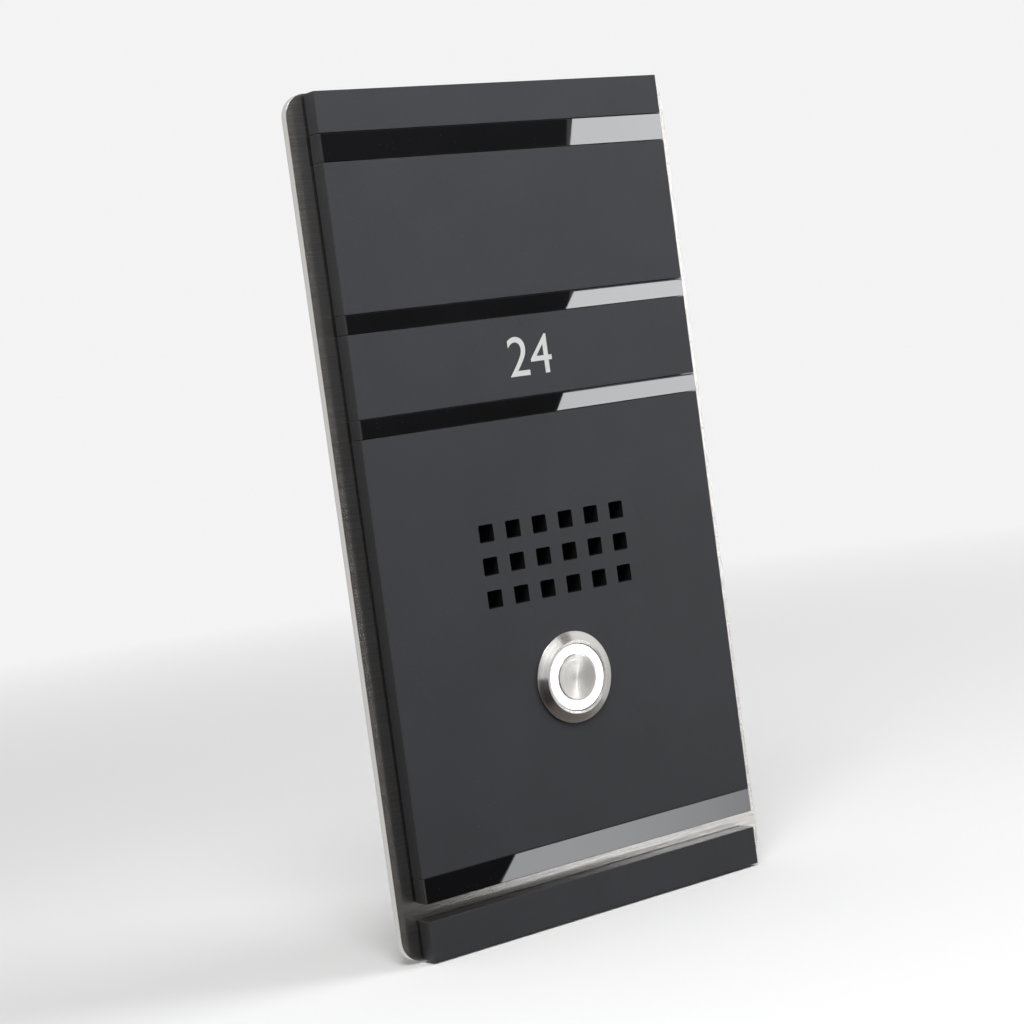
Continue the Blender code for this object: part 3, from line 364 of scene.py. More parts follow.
def matt_acrylic(colours):
    """Satin front pieces with painted shade on their sawn sides, darker still within the panel's width, and a
    polished upper side on the bottom bar.
    """
    tree, shader = start_finish("matt_acrylic", {"Specular IOR Level": 0.45})
    grain = used(tree, "moulded_grain", Scale=5200.0)
    sides = used(tree, "cut_edges")["Mask"]
    dust = used(tree, "dust_specks", Scale=2600.0, Amount=0.05)["Mask"]
    face = blended(tree, grain["Shade"], tone(colours.matt, 0.94), tone(colours.matt, 1.06))
    # Painted shade on the sides: the left and right ends at half the face's tone, and the hole walls, tops
    # and undersides within the panel's width darker still.
    spot = parts_of(tree, object_place(tree))
    half = half_width("speaker_panel")
    outside = between(tree, maths(tree, "ABSOLUTE", spot["X"]), half - 0.0006, half - 0.0003)
    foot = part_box("bottom_bar")[1].z
    below = between(tree, spot["Z"], foot + 0.002, foot + 0.001)
    painted_side_shade = blended(tree, outside, tone(colours.matt, 0.16), tone(colours.matt, 0.5))
    polished = maths(tree, "MULTIPLY", below, between(tree, facing_of(tree)["Z"], 0.6, 0.9))
    cut = blended(tree, sides, face, painted_side_shade)
    tree.links.new(blended(tree, dust, cut, (0.11, 0.11, 0.11, 1)), shader["Base Color"])
    satin = between(tree, grain["Height"], 0.3, 0.7, 0.46, 0.54)
    smoother = maths(tree, "MULTIPLY", polished, 0.34)
    tree.links.new(maths(tree, "SUBTRACT", satin, smoother), shader["Roughness"])
    tree.links.new(bumped(tree, grain["Height"], 0.12, 0.00003), shader["Normal"])


def gloss_acrylic(colours):
    """Polished black strips with sawn sides."""
    tree, shader = start_finish("gloss_acrylic", {"IOR": 1.49})
    grain = used(tree, "moulded_grain", Scale=3000.0)
    sides = used(tree, "cut_edges")["Mask"]
    dust = used(tree, "dust_specks", Scale=3200.0, Amount=0.035)["Mask"]
    face = blended(tree, grain["Shade"], tone(colours.gloss, 0.8), tone(colours.gloss, 1.3))
    # The sawn sides are frosted, a real finish, and take the tone of the matt pieces' shaded sides, which is
    # painted shade.
    cut = blended(tree, sides, face, tone(colours.matt, 0.45))
    tree.links.new(blended(tree, dust, cut, (0.06, 0.06, 0.06, 1)), shader["Base Color"])
    haze = between(tree, grain["Shade"], 0.0, 1.0, 0.006, 0.016)
    tree.links.new(maths(tree, "ADD", haze, maths(tree, "MULTIPLY", sides, 0.4)), shader["Roughness"])
    tree.links.new(bumped(tree, grain["Shade"], 0.004, 0.0001), shader["Normal"])


def brushed_steel(colours):
    """Steel plate brushed along X."""
    tree, shader = start_finish("brushed_steel", {"Metallic": 0.97, "Anisotropic": 0.9})
    grain = used(tree, "brushed_grain", Stretch=(70.0, 5200.0, 5200.0))
    sides = used(tree, "cut_edges")["Mask"]
    dust = used(tree, "dust_specks", Scale=1900.0, Amount=0.12)["Mask"]
    lines = between(tree, grain["Height"], 0.35, 0.68)
    face = blended(tree, lines, tone(colours.steel, 0.76), tone(colours.steel, 1.08))
    # The plate's cut sides get one even tone, kept low as painted shade.
    cut = blended(tree, sides, face, tone(colours.steel, 0.9))
    tree.links.new(blended(tree, dust, cut, (0.30, 0.28, 0.25, 1)), shader["Base Color"])
    tree.links.new(between(tree, grain["Streak"], 0.0, 1.0, 0.2, 0.26), shader["Roughness"])
    tree.links.new(bumped(tree, grain["Height"], 0.02, 0.00002), shader["Normal"])
    across = node(tree, "ShaderNodeCombineXYZ", {"Z": 1.0})
    tree.links.new(across.outputs[0], shader["Tangent"])


def turned_steel(colours):
    """Steel turned on a lathe, for the bezel and cap."""
    values = {"Metallic": 1.0, "Anisotropic": 0.8, "Anisotropic Rotation": 0.25}
    tree, shader = start_finish("turned_steel", values)
    low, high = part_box("button_cap")
    marks = used(tree, "turned_grooves", Centre=tuple((low + high) / 2), Scale=9000.0)
    face = blended(tree, marks["Height"], tone(colours.steel, 1.05), tone(colours.steel, 1.24))
    tree.links.new(face, shader["Base Color"])
    tree.links.new(between(tree, marks["Band"], 0.0, 1.0, 0.2, 0.26), shader["Roughness"])
    tree.links.new(bumped(tree, marks["Height"], 0.06, 0.00002), shader["Normal"])
    tangent = node(tree, "ShaderNodeTangent", direction_type="RADIAL", axis="Y")
    tree.links.new(tangent.outputs[0], shader["Tangent"])


def lit_lens(colours):
    """Translucent ring that glows on its front."""
    tree, shader = start_finish("lit_lens", {"Roughness": 0.3, "Emission Strength": 1.6})
    low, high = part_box("light_ring")
    marks = used(tree, "turned_grooves", Centre=tuple((low + high) / 2), Scale=1500.0)
    glow = blended(tree, marks["Band"], tone(colours.lens, 0.94), tone(colours.lens, 1.0))
    tree.links.new(glow, shader["Base Color"])
    front = between(tree, facing_of(tree)["Y"], -0.3, -0.7)
    lit = blended(tree, front, (0.02, 0.02, 0.02, 1), glow)
    tree.links.new(lit, shader["Emission Color"])
    tree.links.new(bumped(tree, marks["Height"], 0.05, 0.00003), shader["Normal"])


def zinc_plate(colours):
    """Plated steel with warm and cool patches."""
    tree, shader = start_finish("zinc_plate", {"Metallic": 1.0})
    grain = used(tree, "moulded_grain", Scale=9000.0)
    warm = tuple(part * share for part, share in zip(colours.zinc, (1.05, 1.0, 0.9)))
    cool = tuple(part * share for part, share in zip(colours.zinc, (0.88, 0.92, 1.0)))
    tree.links.new(blended(tree, grain["Shade"], tone(warm), tone(cool)), shader["Base Color"])
    tree.links.new(between(tree, grain["Height"], 0.3, 0.7, 0.28, 0.42), shader["Roughness"])
    tree.links.new(bumped(tree, grain["Height"], 0.12, 0.00003), shader["Normal"])


def grained(name, colour, scale, rough, depth, contrast=0.18, specular=0.4):
    """A plain grained finish: moulded plastic, rubber or paper."""
    tree, shader = start_finish(name, {"Specular IOR Level": specular})
    grain = used(tree, "moulded_grain", Scale=scale)
    dust = used(tree, "dust_specks", Scale=1800.0, Amount=0.06)["Mask"]
    face = blended(tree, grain["Shade"], tone(colour, 1 - contrast), tone(colour, 1 + contrast))
    tree.links.new(blended(tree, dust, face, (0.12, 0.12, 0.115, 1)), shader["Base Color"])
    tree.links.new(between(tree, grain["Height"], 0.3, 0.7, rough - 0.06, rough + 0.06), shader["Roughness"])
    tree.links.new(bumped(tree, grain["Height"], 0.35, depth), shader["Normal"])


def porous(name, colour, scale, rough, depth):
    """A finish full of cells: foam or sintered ferrite."""
    tree, shader = start_finish(name, {"Specular IOR Level": 0.25})
    cells = used(tree, "pores", Scale=scale)
    face = blended(tree, cells["Shade"], tone(colour, 0.7), tone(colour, 1.3))
    tree.links.new(face, shader["Base Color"])
    tree.links.new(between(tree, cells["Height"], 0.0, 0.6, rough - 0.05, rough + 0.05), shader["Roughness"])
    tree.links.new(bumped(tree, cells["Height"], 0.6, depth), shader["Normal"])


def contact_copper(colours):
    """Drawn copper alloy."""
    tree, shader = start_finish("contact_copper", {"Metallic": 1.0})
    grain = used(tree, "brushed_grain", Stretch=(5000.0, 120.0, 5000.0))
    face = blended(tree, grain["Streak"], tone(colours.copper, 0.8), tone(colours.copper, 1.05))
    tree.links.new(face, shader["Base Color"])
    tree.links.new(between(tree, grain["Height"], 0.3, 0.7, 0.24, 0.38), shader["Roughness"])
    tree.links.new(bumped(tree, grain["Height"], 0.15, 0.00002), shader["Normal"])


def green_board(colours):
    """Circuit board with raised tracks."""
    tree, shader = start_finish("green_board", {"Roughness": 0.35})
    place = object_place(tree)
    turned_up = node(tree, "ShaderNodeMapping", {"Vector": place, "Rotation": (math.pi / 2, 0.0, 0.0)})
    rows = {"Vector": turned_up.outputs[0], "Scale": 260.0, "Mortar Size": 0.03}
    rows.update({"Brick Width": 1.7, "Row Height": 0.35})
    tracks = node(tree, "ShaderNodeTexBrick", rows).outputs["Fac"]
    grain = used(tree, "moulded_grain", Scale=3000.0)
    resist = blended(tree, grain["Shade"], tone(colours.board, 0.85), tone(colours.board, 1.1))
    tree.links.new(blended(tree, tracks, resist, tone(colours.board, 1.9)), shader["Base Color"])
    tree.links.new(bumped(tree, tracks, 0.3, 0.00003), shader["Normal"])


def woven_cloth(colours):
    """Dust cloth with threads both ways."""
    tree, shader = start_finish("woven_cloth", {"Roughness": 0.95, "Specular IOR Level": 0.15})
    values = {"Vector": object_place(tree), "Scale": 1800.0, "Distortion": 1.0}
    threads = [
        node(tree, "ShaderNodeTexWave", values, bands_direction=side).outputs["Fac"] for side in ("X", "Z")
    ]
    weave = maths(tree, "MAXIMUM", *threads)
    face = blended(tree, weave, tone(colours.cloth, 0.6), tone(colours.cloth, 1.4))
    tree.links.new(face, shader["Base Color"])
    tree.links.new(bumped(tree, weave, 0.5, 0.00005), shader["Normal"])


def number_paint(colours):
    """Printed figures."""
    tree, shader = start_finish("number_paint", {"Roughness": 0.5})
    grain = used(tree, "moulded_grain", Scale=6000.0)
    face = blended(tree, grain["Height"], tone(colours.paint, 0.96), tone(colours.paint, 1.04))
    tree.links.new(face, shader["Base Color"])
    tree.links.new(bumped(tree, grain["Height"], 0.1, 0.00002), shader["Normal"])


def make_finishes(colours):
    """Builds every shader group and finish once."""
    for maker in GROUP_MAKERS:
        maker()
    for maker in (
        matt_acrylic, gloss_acrylic, brushed_steel, turned_steel, lit_lens, zinc_plate, contact_copper,
        green_board, woven_cloth, number_paint,
    ):
        maker(colours)
    grained("moulded_plastic", colours.plastic, 3800.0, 0.5, 0.00004)
    grained("black_rubber", colours.rubber, 2600.0, 0.72, 0.00004)
    grained("block_plastic", colours.block, 4200.0, 0.42, 0.00003, 0.08)
    grained("cone_paper", colours.paper, 1900.0, 0.85, 0.00006)
    porous("closed_foam", colours.foam, 2400.0, 0.88, 0.00012)
    porous("foam_tape", colours.tape, 3000.0, 0.9, 0.00008)
    porous("sintered_ferrite", colours.ferrite, 5000.0, 0.6, 0.00003)


FINISH_OF = {
    "steel": "brushed_steel", "matt": "matt_acrylic", "gloss": "gloss_acrylic", "tape": "foam_tape",
    "foam": "closed_foam", "zinc": "zinc_plate", "rubber": "black_rubber", "lens": "lit_lens",
    "plastic": "moulded_plastic", "copper": "contact_copper", "board": "green_board", "cloth": "woven_cloth",
    "ferrite": "sintered_ferrite", "paper": "cone_paper", "block": "block_plastic",
}


# Mesh helpers

def in_scene(name, data):
    """A new object in the scene."""
    item = bpy.data.objects.new(name, data)
    bpy.context.scene.collection.objects.link(item)
    return item


def plain_mesh(item):
    """The evaluated shape of an object as a plain mesh. The object and what it was made from are removed."""
    depsgraph = bpy.context.evaluated_depsgraph_get()
    shape = item.evaluated_get(depsgraph)
    mesh = bpy.data.meshes.new_from_object(shape, preserve_all_data_layers=True, depsgraph=depsgraph)
    bpy.data.objects.remove(item)
    return mesh


def finished(shape, name):
    """A plain mesh from an edited shape, which is freed."""
    mesh = bpy.data.meshes.new(name)
    shape.to_mesh(mesh)
    shape.free()
    return mesh


def sealed(mesh, edge=0.0, angle=38.0, lead=100):
    """Merges doubles, points faces outwards, rounds sharp edges and lets large faces lead the shading."""
    shape = bmesh.new()
    shape.from_mesh(mesh)
    bmesh.ops.remove_doubles(shape, verts=shape.verts, dist=MERGE)
    bmesh.ops.recalc_face_normals(shape, faces=shape.faces)
    shape.to_mesh(mesh)
    shape.free()
    if edge:
        item = in_scene("rounding", mesh)
        modifier = item.modifiers.new("rounding", "BEVEL")
        modifier.width = edge
        modifier.segments = 3
        modifier.limit_method = "ANGLE"
        modifier.angle_limit = math.radians(50)
        mesh = plain_mesh(item)
    mesh.shade_smooth()
    mesh.set_sharp_from_angle(angle=math.radians(angle))
    item = in_scene("shading", mesh)
    modifier = item.modifiers.new("shading", "WEIGHTED_NORMAL")
    modifier.keep_sharp = True
    modifier.weight = lead
    return plain_mesh(item)


def dress(name, mesh, *nodes, finish=None):
    """Shows a mesh in place of CAD nodes, in their finish and on their body."""
    slot = SLOT_OF[nodes[0]]
    mesh.materials.clear()
    mesh.materials.append(bpy.data.materials[finish or FINISH_OF[slot]])
    item = in_scene(name, mesh)
    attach(item, BODY_OF[nodes[0]])
    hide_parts(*nodes)
    return item


def axis_of(name):
    """The x and z of a node's middle."""
    low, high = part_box(name)
    return (low.x + high.x) / 2, (low.z + high.z) / 2


def nodes_named(start):
    """The nodes whose names start alike."""
    return [name for name in SLOT_OF if name.startswith(start)]


def half_width(name):
    """Half of a node's size along X."""
    low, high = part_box(name)
    return (high.x - low.x) / 2


def barrel_radius():
    """Radius of the button's threaded barrel, which the washer goes round."""
    return half_width("lock_washer") - WASHER_WIDTH - SEAT


def filleted(corners, radius, steps=4):
    """A closed outline with round corners. A corner may give its own radius as a third value."""
    made = []
    for index, corner in enumerate(corners):
        here = Vector(corner[:2])
        back = Vector(corners[index - 1][:2]) - here
        ahead = Vector(corners[(index + 1) % len(corners)][:2]) - here
        size = corner[2] if len(corner) > 2 else radius
        if not size:
            made.append(tuple(here))
            continue
        reach = min(size / math.tan(back.angle(ahead) / 2), 0.46 * back.length, 0.46 * ahead.length)
        start = here + reach * back.normalized()
        end = here + reach * ahead.normalized()
        for step in range(steps + 1):
            share = step / steps
            made.append(tuple(start.lerp(here, share).lerp(here.lerp(end, share), share)))
    return made


def rectangle(low, high, radius, steps=6):
    """Outline in the XZ plane from a box's corners."""
    corners = ((low.x, low.z), (high.x, low.z), (high.x, high.z), (low.x, high.z))
    return filleted(corners, radius, steps)


def circle(x, z, radius, steps=32):
    """Round outline in the XZ plane."""
    turns = [2 * math.pi * step / steps for step in range(steps)]
    return [(x + radius * math.cos(turn), z + radius * math.sin(turn)) for turn in turns]


def turned(section_at, axis, steps=FINE):
    """A mesh round the Y line through axis. section_at gives the closed (radius, y) section at an angle."""
    x, z = axis
    shape = bmesh.new()
    columns = []
    for step in range(steps):
        angle = 2 * math.pi * step / steps
        ring = [(x + r * math.cos(angle), y, z + r * math.sin(angle)) for r, y in section_at(angle)]
        columns.append([shape.verts.new(point) for point in ring])
    for first, second in zip(columns, columns[1:] + columns[:1]):
        for low in range(len(first)):
            high = low - 1
            shape.faces.new((first[low], first[high], second[high], second[low]))
    return sealed(finished(shape, "turned"), lead=50)


def cut_sheet(outlines, front, rear, edge):
    """A flat mesh in the XZ plane with rounded edges, from its outline and the outlines of its holes."""
    curve = bpy.data.curves.new("sheet", "CURVE")
    curve.dimensions = "2D"
    curve.fill_mode = "BOTH"
    curve.extrude = (rear - front) / 2 - edge
    curve.bevel_depth = edge
    curve.bevel_resolution = 2
    curve.offset = -edge
    for outline in outlines:
        spline = curve.splines.new("POLY")
        spline.points.add(len(outline) - 1)
        for point, (x, z) in zip(spline.points, outline):
            point.co = (x, z, 0, 1)
        spline.use_cyclic_u = True
    mesh = plain_mesh(in_scene("sheet", curve))
    mesh.transform(Matrix.Translation((0, (front + rear) / 2, 0)) @ TURN_UP)
    return sealed(mesh)


def prism(outline, front, rear, edge=0.0):
    """A flat mesh in the XZ plane with square or rounded edges, from one outline."""
    shape = bmesh.new()
    ends = [[shape.verts.new((x, y, z)) for x, z in outline] for y in (front, rear)]
    for index in range(len(outline)):
        shape.faces.new((ends[0][index - 1], ends[0][index], ends[1][index], ends[1][index - 1]))
    for end in ends:
        shape.faces.new(end)
    return sealed(finished(shape, "prism"), edge)


def eased_ends(mesh, low, high, width):
    """A flat piece with its front edges cut off at both ends."""
    shape = bmesh.new()
    shape.from_mesh(mesh)
    for end, way in ((low.x, -1), (high.x, 1)):
        whole = shape.verts[:] + shape.edges[:] + shape.faces[:]
        cut = bmesh.ops.bisect_plane(
            shape, geom=whole, plane_co=(end, low.y + width, 0), plane_no=(way, -1, 0), clear_outer=True
        )["geom_cut"]
        bmesh.ops.edgenet_fill(shape, edges=[part for part in cut if isinstance(part, bmesh.types.BMEdge)])
    shape.to_mesh(mesh)
    shape.free()
    return mesh


def softened(edge, *nodes):
    """Copies of CAD nodes as one mesh, with their flat faces joined and their edges rounded."""
    shape = bmesh.new()
    for name in nodes:
        shape.from_mesh(frame["nodes"][name].data)
    bmesh.ops.remove_doubles(shape, verts=shape.verts, dist=MERGE)
    bmesh.ops.dissolve_limit(shape, angle_limit=0.02, verts=shape.verts, edges=shape.edges)
    return sealed(finished(shape, "softened"), edge)


def grown(tree, sizes, places=((0, 0, 0),)):
    """The plain mesh that a geometry tree makes at the given places."""
    points = bpy.data.meshes.new(tree.name)
    points.from_pydata(places, [], [])
    item = in_scene(tree.name, points)
    modifier = item.modifiers.new(tree.name, "NODES")
    modifier.node_group = tree
    sockets = [socket for socket in tree.interface.items_tree if socket.in_out == "INPUT"]
    names = {socket.name: socket.identifier for socket in sockets}
    for label, value in sizes.items():
        modifier[names[label]] = value
    return plain_mesh(item)


# Geometry trees

def end_tree(tree, shape, given, out):
    """Ends a geometry tree in plain geometry with its material."""
    realized = node(tree, "GeometryNodeRealizeInstances", {"Geometry": shape}).outputs[0]
    finish = node(tree, "GeometryNodeSetMaterial", {"Geometry": realized, "Material": given["Finish"]})
    tree.links.new(finish.outputs[0], out["Geometry"])


def moved(tree, shape, x=0.0, y=0.0, z=0.0, rotation=(0.0, 0.0, 0.0)):
    """Geometry moved by numbers or sockets, and turned."""
    shift = node(tree, "ShaderNodeCombineXYZ", {"X": x, "Y": y, "Z": z}).outputs[0]
    values = {"Geometry": shape, "Translation": shift, "Rotation": rotation}
    return node(tree, "GeometryNodeTransform", values).outputs[0]


def joined(tree, *shapes):
    """Several pieces of geometry as one."""
    made = tree.nodes.new("GeometryNodeJoinGeometry")
    for shape in shapes:
        tree.links.new(shape, made.inputs[0])
    return made.outputs[0]


def at_points(tree, points, shape):
    """A shape at every point."""
    return node(tree, "GeometryNodeInstanceOnPoints", {"Points": points, "Instance": shape}).outputs[0]


def thickened(tree, rear, thickness, **offset):
    """A flat mesh, its raised copy and the sides between them."""
    up = {"Mesh": rear, "Offset Scale": thickness, "Individual": False, **offset}
    front = node(tree, "GeometryNodeExtrudeMesh", up, mode="FACES").outputs[0]
    back = node(tree, "GeometryNodeFlipFaces", {"Mesh": rear}).outputs[0]
    both = {"Geometry": joined(tree, front, back), "Distance": MERGE}
    return node(tree, "GeometryNodeMergeByDistance", both).outputs[0]


def perforated_sheet_tree():
    """A sheet in the XY plane with rows of square holes and one round opening, grown along Z."""
    sizes = ("Width", "Height", "Middle", "Corner", "Hole", "Hole Corner", "Pitch", "Grid Middle")
    sizes += ("Opening", "Opening Middle", "Thickness")
    inputs = [("Geometry", "Geometry", None), ("Columns", "Int", 6), ("Rows", "Int", 3)]
    inputs += [(label, "Float", 0.001) for label in sizes] + [("Finish", "Material", None)]
    tree, given, out = open_tree("perforated_sheet", "GeometryNodeTree", inputs, [("Geometry", "Geometry")])

    def square(width, height, radius, count):
        box = {"Width": width, "Height": height}
        sides = node(tree, "GeometryNodeCurvePrimitiveQuadrilateral", box).outputs[0]
        corners = {"Curve": sides, "Count": count, "Radius": radius}
        return node(tree, "GeometryNodeFilletCurve", corners, mode="POLY").outputs[0]

    def span(count):
        return maths(tree, "MULTIPLY", maths(tree, "SUBTRACT", count, 1), given["Pitch"])

    outline = moved(tree, square(given["Width"], given["Height"], given["Corner"], 14), y=given["Middle"])
    rows = {"Size X": span(given["Columns"]), "Size Y": span(given["Rows"])}
    rows.update({"Vertices X": given["Columns"], "Vertices Y": given["Rows"]})
    grid = moved(tree, node(tree, "GeometryNodeMeshGrid", rows).outputs[0], y=given["Grid Middle"])
    hole = square(given["Hole"], given["Hole"], given["Hole Corner"], 4)
    ring = {"Resolution": 96, "Radius": given["Opening"]}
    round_hole = node(tree, "GeometryNodeCurvePrimitiveCircle", ring).outputs[0]
    opening = moved(tree, round_hole, y=given["Opening Middle"])
    loops = joined(tree, outline, at_points(tree, grid, hole), opening)
    loose = node(tree, "GeometryNodeRealizeInstances", {"Geometry": loops}).outputs[0]
    rear = node(tree, "GeometryNodeFillCurve", {"Curve": loose}, mode="NGONS").outputs[0]
    end_tree(tree, thickened(tree, rear, given["Thickness"]), given, out)
    return tree


def threaded_stud_tree():
    """A threaded rod on a flange at every point, along +Y."""
    sizes = ("Radius", "Length", "Pitch", "Depth", "Flange Radius", "Flange Thickness")
    inputs = [("Geometry", "Geometry", None), ("Segments", "Int", 100)]
    inputs += [(label, "Float", 0.001) for label in sizes] + [("Finish", "Material", None)]
    tree, given, out = open_tree("threaded_stud", "GeometryNodeTree", inputs, [("Geometry", "Geometry")])
    ends = {"Vertices": 28, "Radius": given["Radius"], "Depth": given["Length"]}
    rod = node(tree, "GeometryNodeMeshCylinder", {**ends, "Side Segments": given["Segments"]}).outputs[0]
    place = parts_of(tree, node(tree, "GeometryNodeInputPosition").outputs[0])
    way_round = maths(tree, "DIVIDE", maths(tree, "ARCTAN2", place["Y"], place["X"]), 2 * math.pi)
    phase = maths(tree, "SUBTRACT", maths(tree, "DIVIDE", place["Z"], given["Pitch"]), way_round)
    wave = maths(tree, "PINGPONG", maths(tree, "FRACT", phase), 0.5)
    crest = between(tree, wave, 0.05, 0.4)
    half = maths(tree, "MULTIPLY", given["Length"], 0.5)
    from_end = maths(tree, "SUBTRACT", half, maths(tree, "ABSOLUTE", place["Z"]))
    whole = maths(tree, "DIVIDE", from_end, maths(tree, "MULTIPLY", given["Pitch"], 1.2), clamp=True)
    lost = maths(tree, "SUBTRACT", 2.0, maths(tree, "ADD", crest, whole))
    share = maths(tree, "DIVIDE", maths(tree, "MULTIPLY", lost, given["Depth"]), given["Radius"])
    scale = maths(tree, "SUBTRACT", 1.0, share)
    point = {"X": maths(tree, "MULTIPLY", place["X"], scale), "Y": maths(tree, "MULTIPLY", place["Y"], scale)}
    point["Z"] = place["Z"]
    where = node(tree, "ShaderNodeCombineXYZ", point).outputs[0]
    cut = node(tree, "GeometryNodeSetPosition", {"Geometry": rod, "Position": where}).outputs[0]
    disc = {"Vertices": 40, "Radius": given["Flange Radius"], "Depth": given["Flange Thickness"]}
    flange = node(tree, "GeometryNodeMeshCylinder", disc).outputs[0]
    foot = moved(tree, flange, z=maths(tree, "MULTIPLY", given["Flange Thickness"], 0.5))
    stud = moved(tree, joined(tree, moved(tree, cut, z=half), foot), rotation=(-math.pi / 2, 0.0, 0.0))
    end_tree(tree, at_points(tree, given["Geometry"], stud), given, out)
    return tree


def slotted_screw_tree():
    """A screw head with a straight slot at every point, facing +Y."""
    sizes = ("Radius", "Length", "Slot")
    inputs = [("Geometry", "Geometry", None)]
    inputs += [(label, "Float", 0.001) for label in sizes] + [("Finish", "Material", None)]
    tree, given, out = open_tree("slotted_screw", "GeometryNodeTree", inputs, [("Geometry", "Geometry")])
    disc = {"Vertices": 40, "Radius": given["Radius"], "Depth": given["Length"]}
    head = node(tree, "GeometryNodeMeshCylinder", disc).outputs[0]
    across = {"X": maths(tree, "MULTIPLY", given["Radius"], 3.0), "Y": given["Slot"]}
    across["Z"] = maths(tree, "MULTIPLY", given["Slot"], 2.0)
    bar = node(tree, "ShaderNodeCombineXYZ", across).outputs[0]
    blade = node(tree, "GeometryNodeMeshCube", {"Size": bar}).outputs[0]
    half = maths(tree, "MULTIPLY", given["Length"], 0.5)
    cutter = moved(tree, blade, z=half)
    pair = {"Mesh 1": head, "Mesh 2": cutter}
    cut = node(tree, "GeometryNodeMeshBoolean", pair, operation="DIFFERENCE").outputs[0]
    screw = moved(tree, moved(tree, cut, z=half), rotation=(-math.pi / 2, 0.0, 0.0))
    end_tree(tree, at_points(tree, given["Geometry"], screw), given, out)
    return tree


def woven_sheet_tree():
    """A thin sheet in the XY plane that rises and falls with a plain weave."""
    sizes = ("Width", "Height", "Pitch", "Rise", "Thickness")
    inputs = [("Geometry", "Geometry", None), ("Columns", "Int", 100), ("Rows", "Int", 50)]
    inputs += [(label, "Float", 0.001) for label in sizes] + [("Finish", "Material", None)]
    tree, given, out = open_tree("woven_sheet", "GeometryNodeTree", inputs, [("Geometry", "Geometry")])
    rows = {"Size X": given["Width"], "Size Y": given["Height"]}
    rows.update({"Vertices X": given["Columns"], "Vertices Y": given["Rows"]})
    grid = node(tree, "GeometryNodeMeshGrid", rows).outputs[0]
    place = parts_of(tree, node(tree, "GeometryNodeInputPosition").outputs[0])
    rate = maths(tree, "DIVIDE", math.pi, given["Pitch"])
    waves = [maths(tree, "SINE", maths(tree, "MULTIPLY", place[side], rate)) for side in ("X", "Y")]
    rise = maths(tree, "MULTIPLY", maths(tree, "MULTIPLY", *waves), given["Rise"])
    lift = node(tree, "ShaderNodeCombineXYZ", {"Z": rise}).outputs[0]
    rear = node(tree, "GeometryNodeSetPosition", {"Geometry": grid, "Offset": lift}).outputs[0]
    end_tree(tree, thickened(tree, rear, given["Thickness"], Offset=(0.0, 0.0, 1.0)), given, out)
    return tree


def thread_crest(phase):
    """Height of a thread between its root and its crest, from 0 to 1."""
    wave = abs(phase % 1 - 0.5) * 2
    return min(1.0, max(0.0, (wave - 0.1) / 0.7))


# Operators

class DOORPANEL_OT_finishes(bpy.types.Operator):
    """Build the finishes and give each carried-over solid its own"""

    bl_idname = "doorpanel.finishes"
    bl_label = "Finishes"

    def execute(self, context):
        make_finishes(context.scene.door_panel_colours)
        for name, item in frame["nodes"].items():
            item.material_slots[0].material = bpy.data.materials[FINISH_OF[SLOT_OF[name]]]
        return {"FINISHED"}


class DOORPANEL_OT_front_pieces(bpy.types.Operator):
    """Cut the matt panels and gloss strips with rounded edges"""

    bl_idname = "doorpanel.front_pieces"
    bl_label = "Front Pieces"

    def execute(self, context):
        sizes = context.scene.door_panel_sizes
        for name in FLAT_PIECES:
            low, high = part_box(name)
            mesh = eased_ends(prism(rectangle(low, high, 0), low.y, high.y), low, high, sizes.panel_end)
            dress("cut_" + name, sealed(mesh, sizes.panel_edge), name)
        return {"FINISHED"}


class DOORPANEL_OT_grille_sheets(bpy.types.Operator):
    """Make the speaker panel and the steel plate, both pierced by the sound holes"""

    bl_idname = "doorpanel.grille_sheets"
    bl_label = "Grille Sheets"

    def execute(self, context):
        sizes = context.scene.door_panel_sizes
        tree = perforated_sheet_tree()
        button_z = axis_of("button_housing")[1]
        opening = barrel_radius() + SLIP
        for name, corner, hole, edge, end in (
            ("speaker_panel", 0.00012, sizes.sound_hole, sizes.panel_edge, sizes.panel_end),
            ("base_plate", sizes.plate_corner, sizes.plate_hole, sizes.plate_edge, 0),
        ):
            low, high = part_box(name)
            values = {
                "Width": high.x - low.x, "Height": high.z - low.z, "Middle": (low.z + high.z) / 2,
                "Corner": corner, "Hole": hole, "Hole Corner": sizes.hole_corner, "Pitch": sizes.sound_pitch,
                "Grid Middle": -sizes.sound_height, "Opening": opening, "Opening Middle": button_z,
                "Thickness": high.y - low.y, "Finish": bpy.data.materials[FINISH_OF[SLOT_OF[name]]],
            }
            mesh = grown(tree, values)
            mesh.transform(Matrix.Translation((0, high.y, 0)) @ TURN_UP)
            if end:
                mesh = eased_ends(mesh, low, high, end)
            dress("pierced_" + name, sealed(mesh, edge), name)
        return {"FINISHED"}


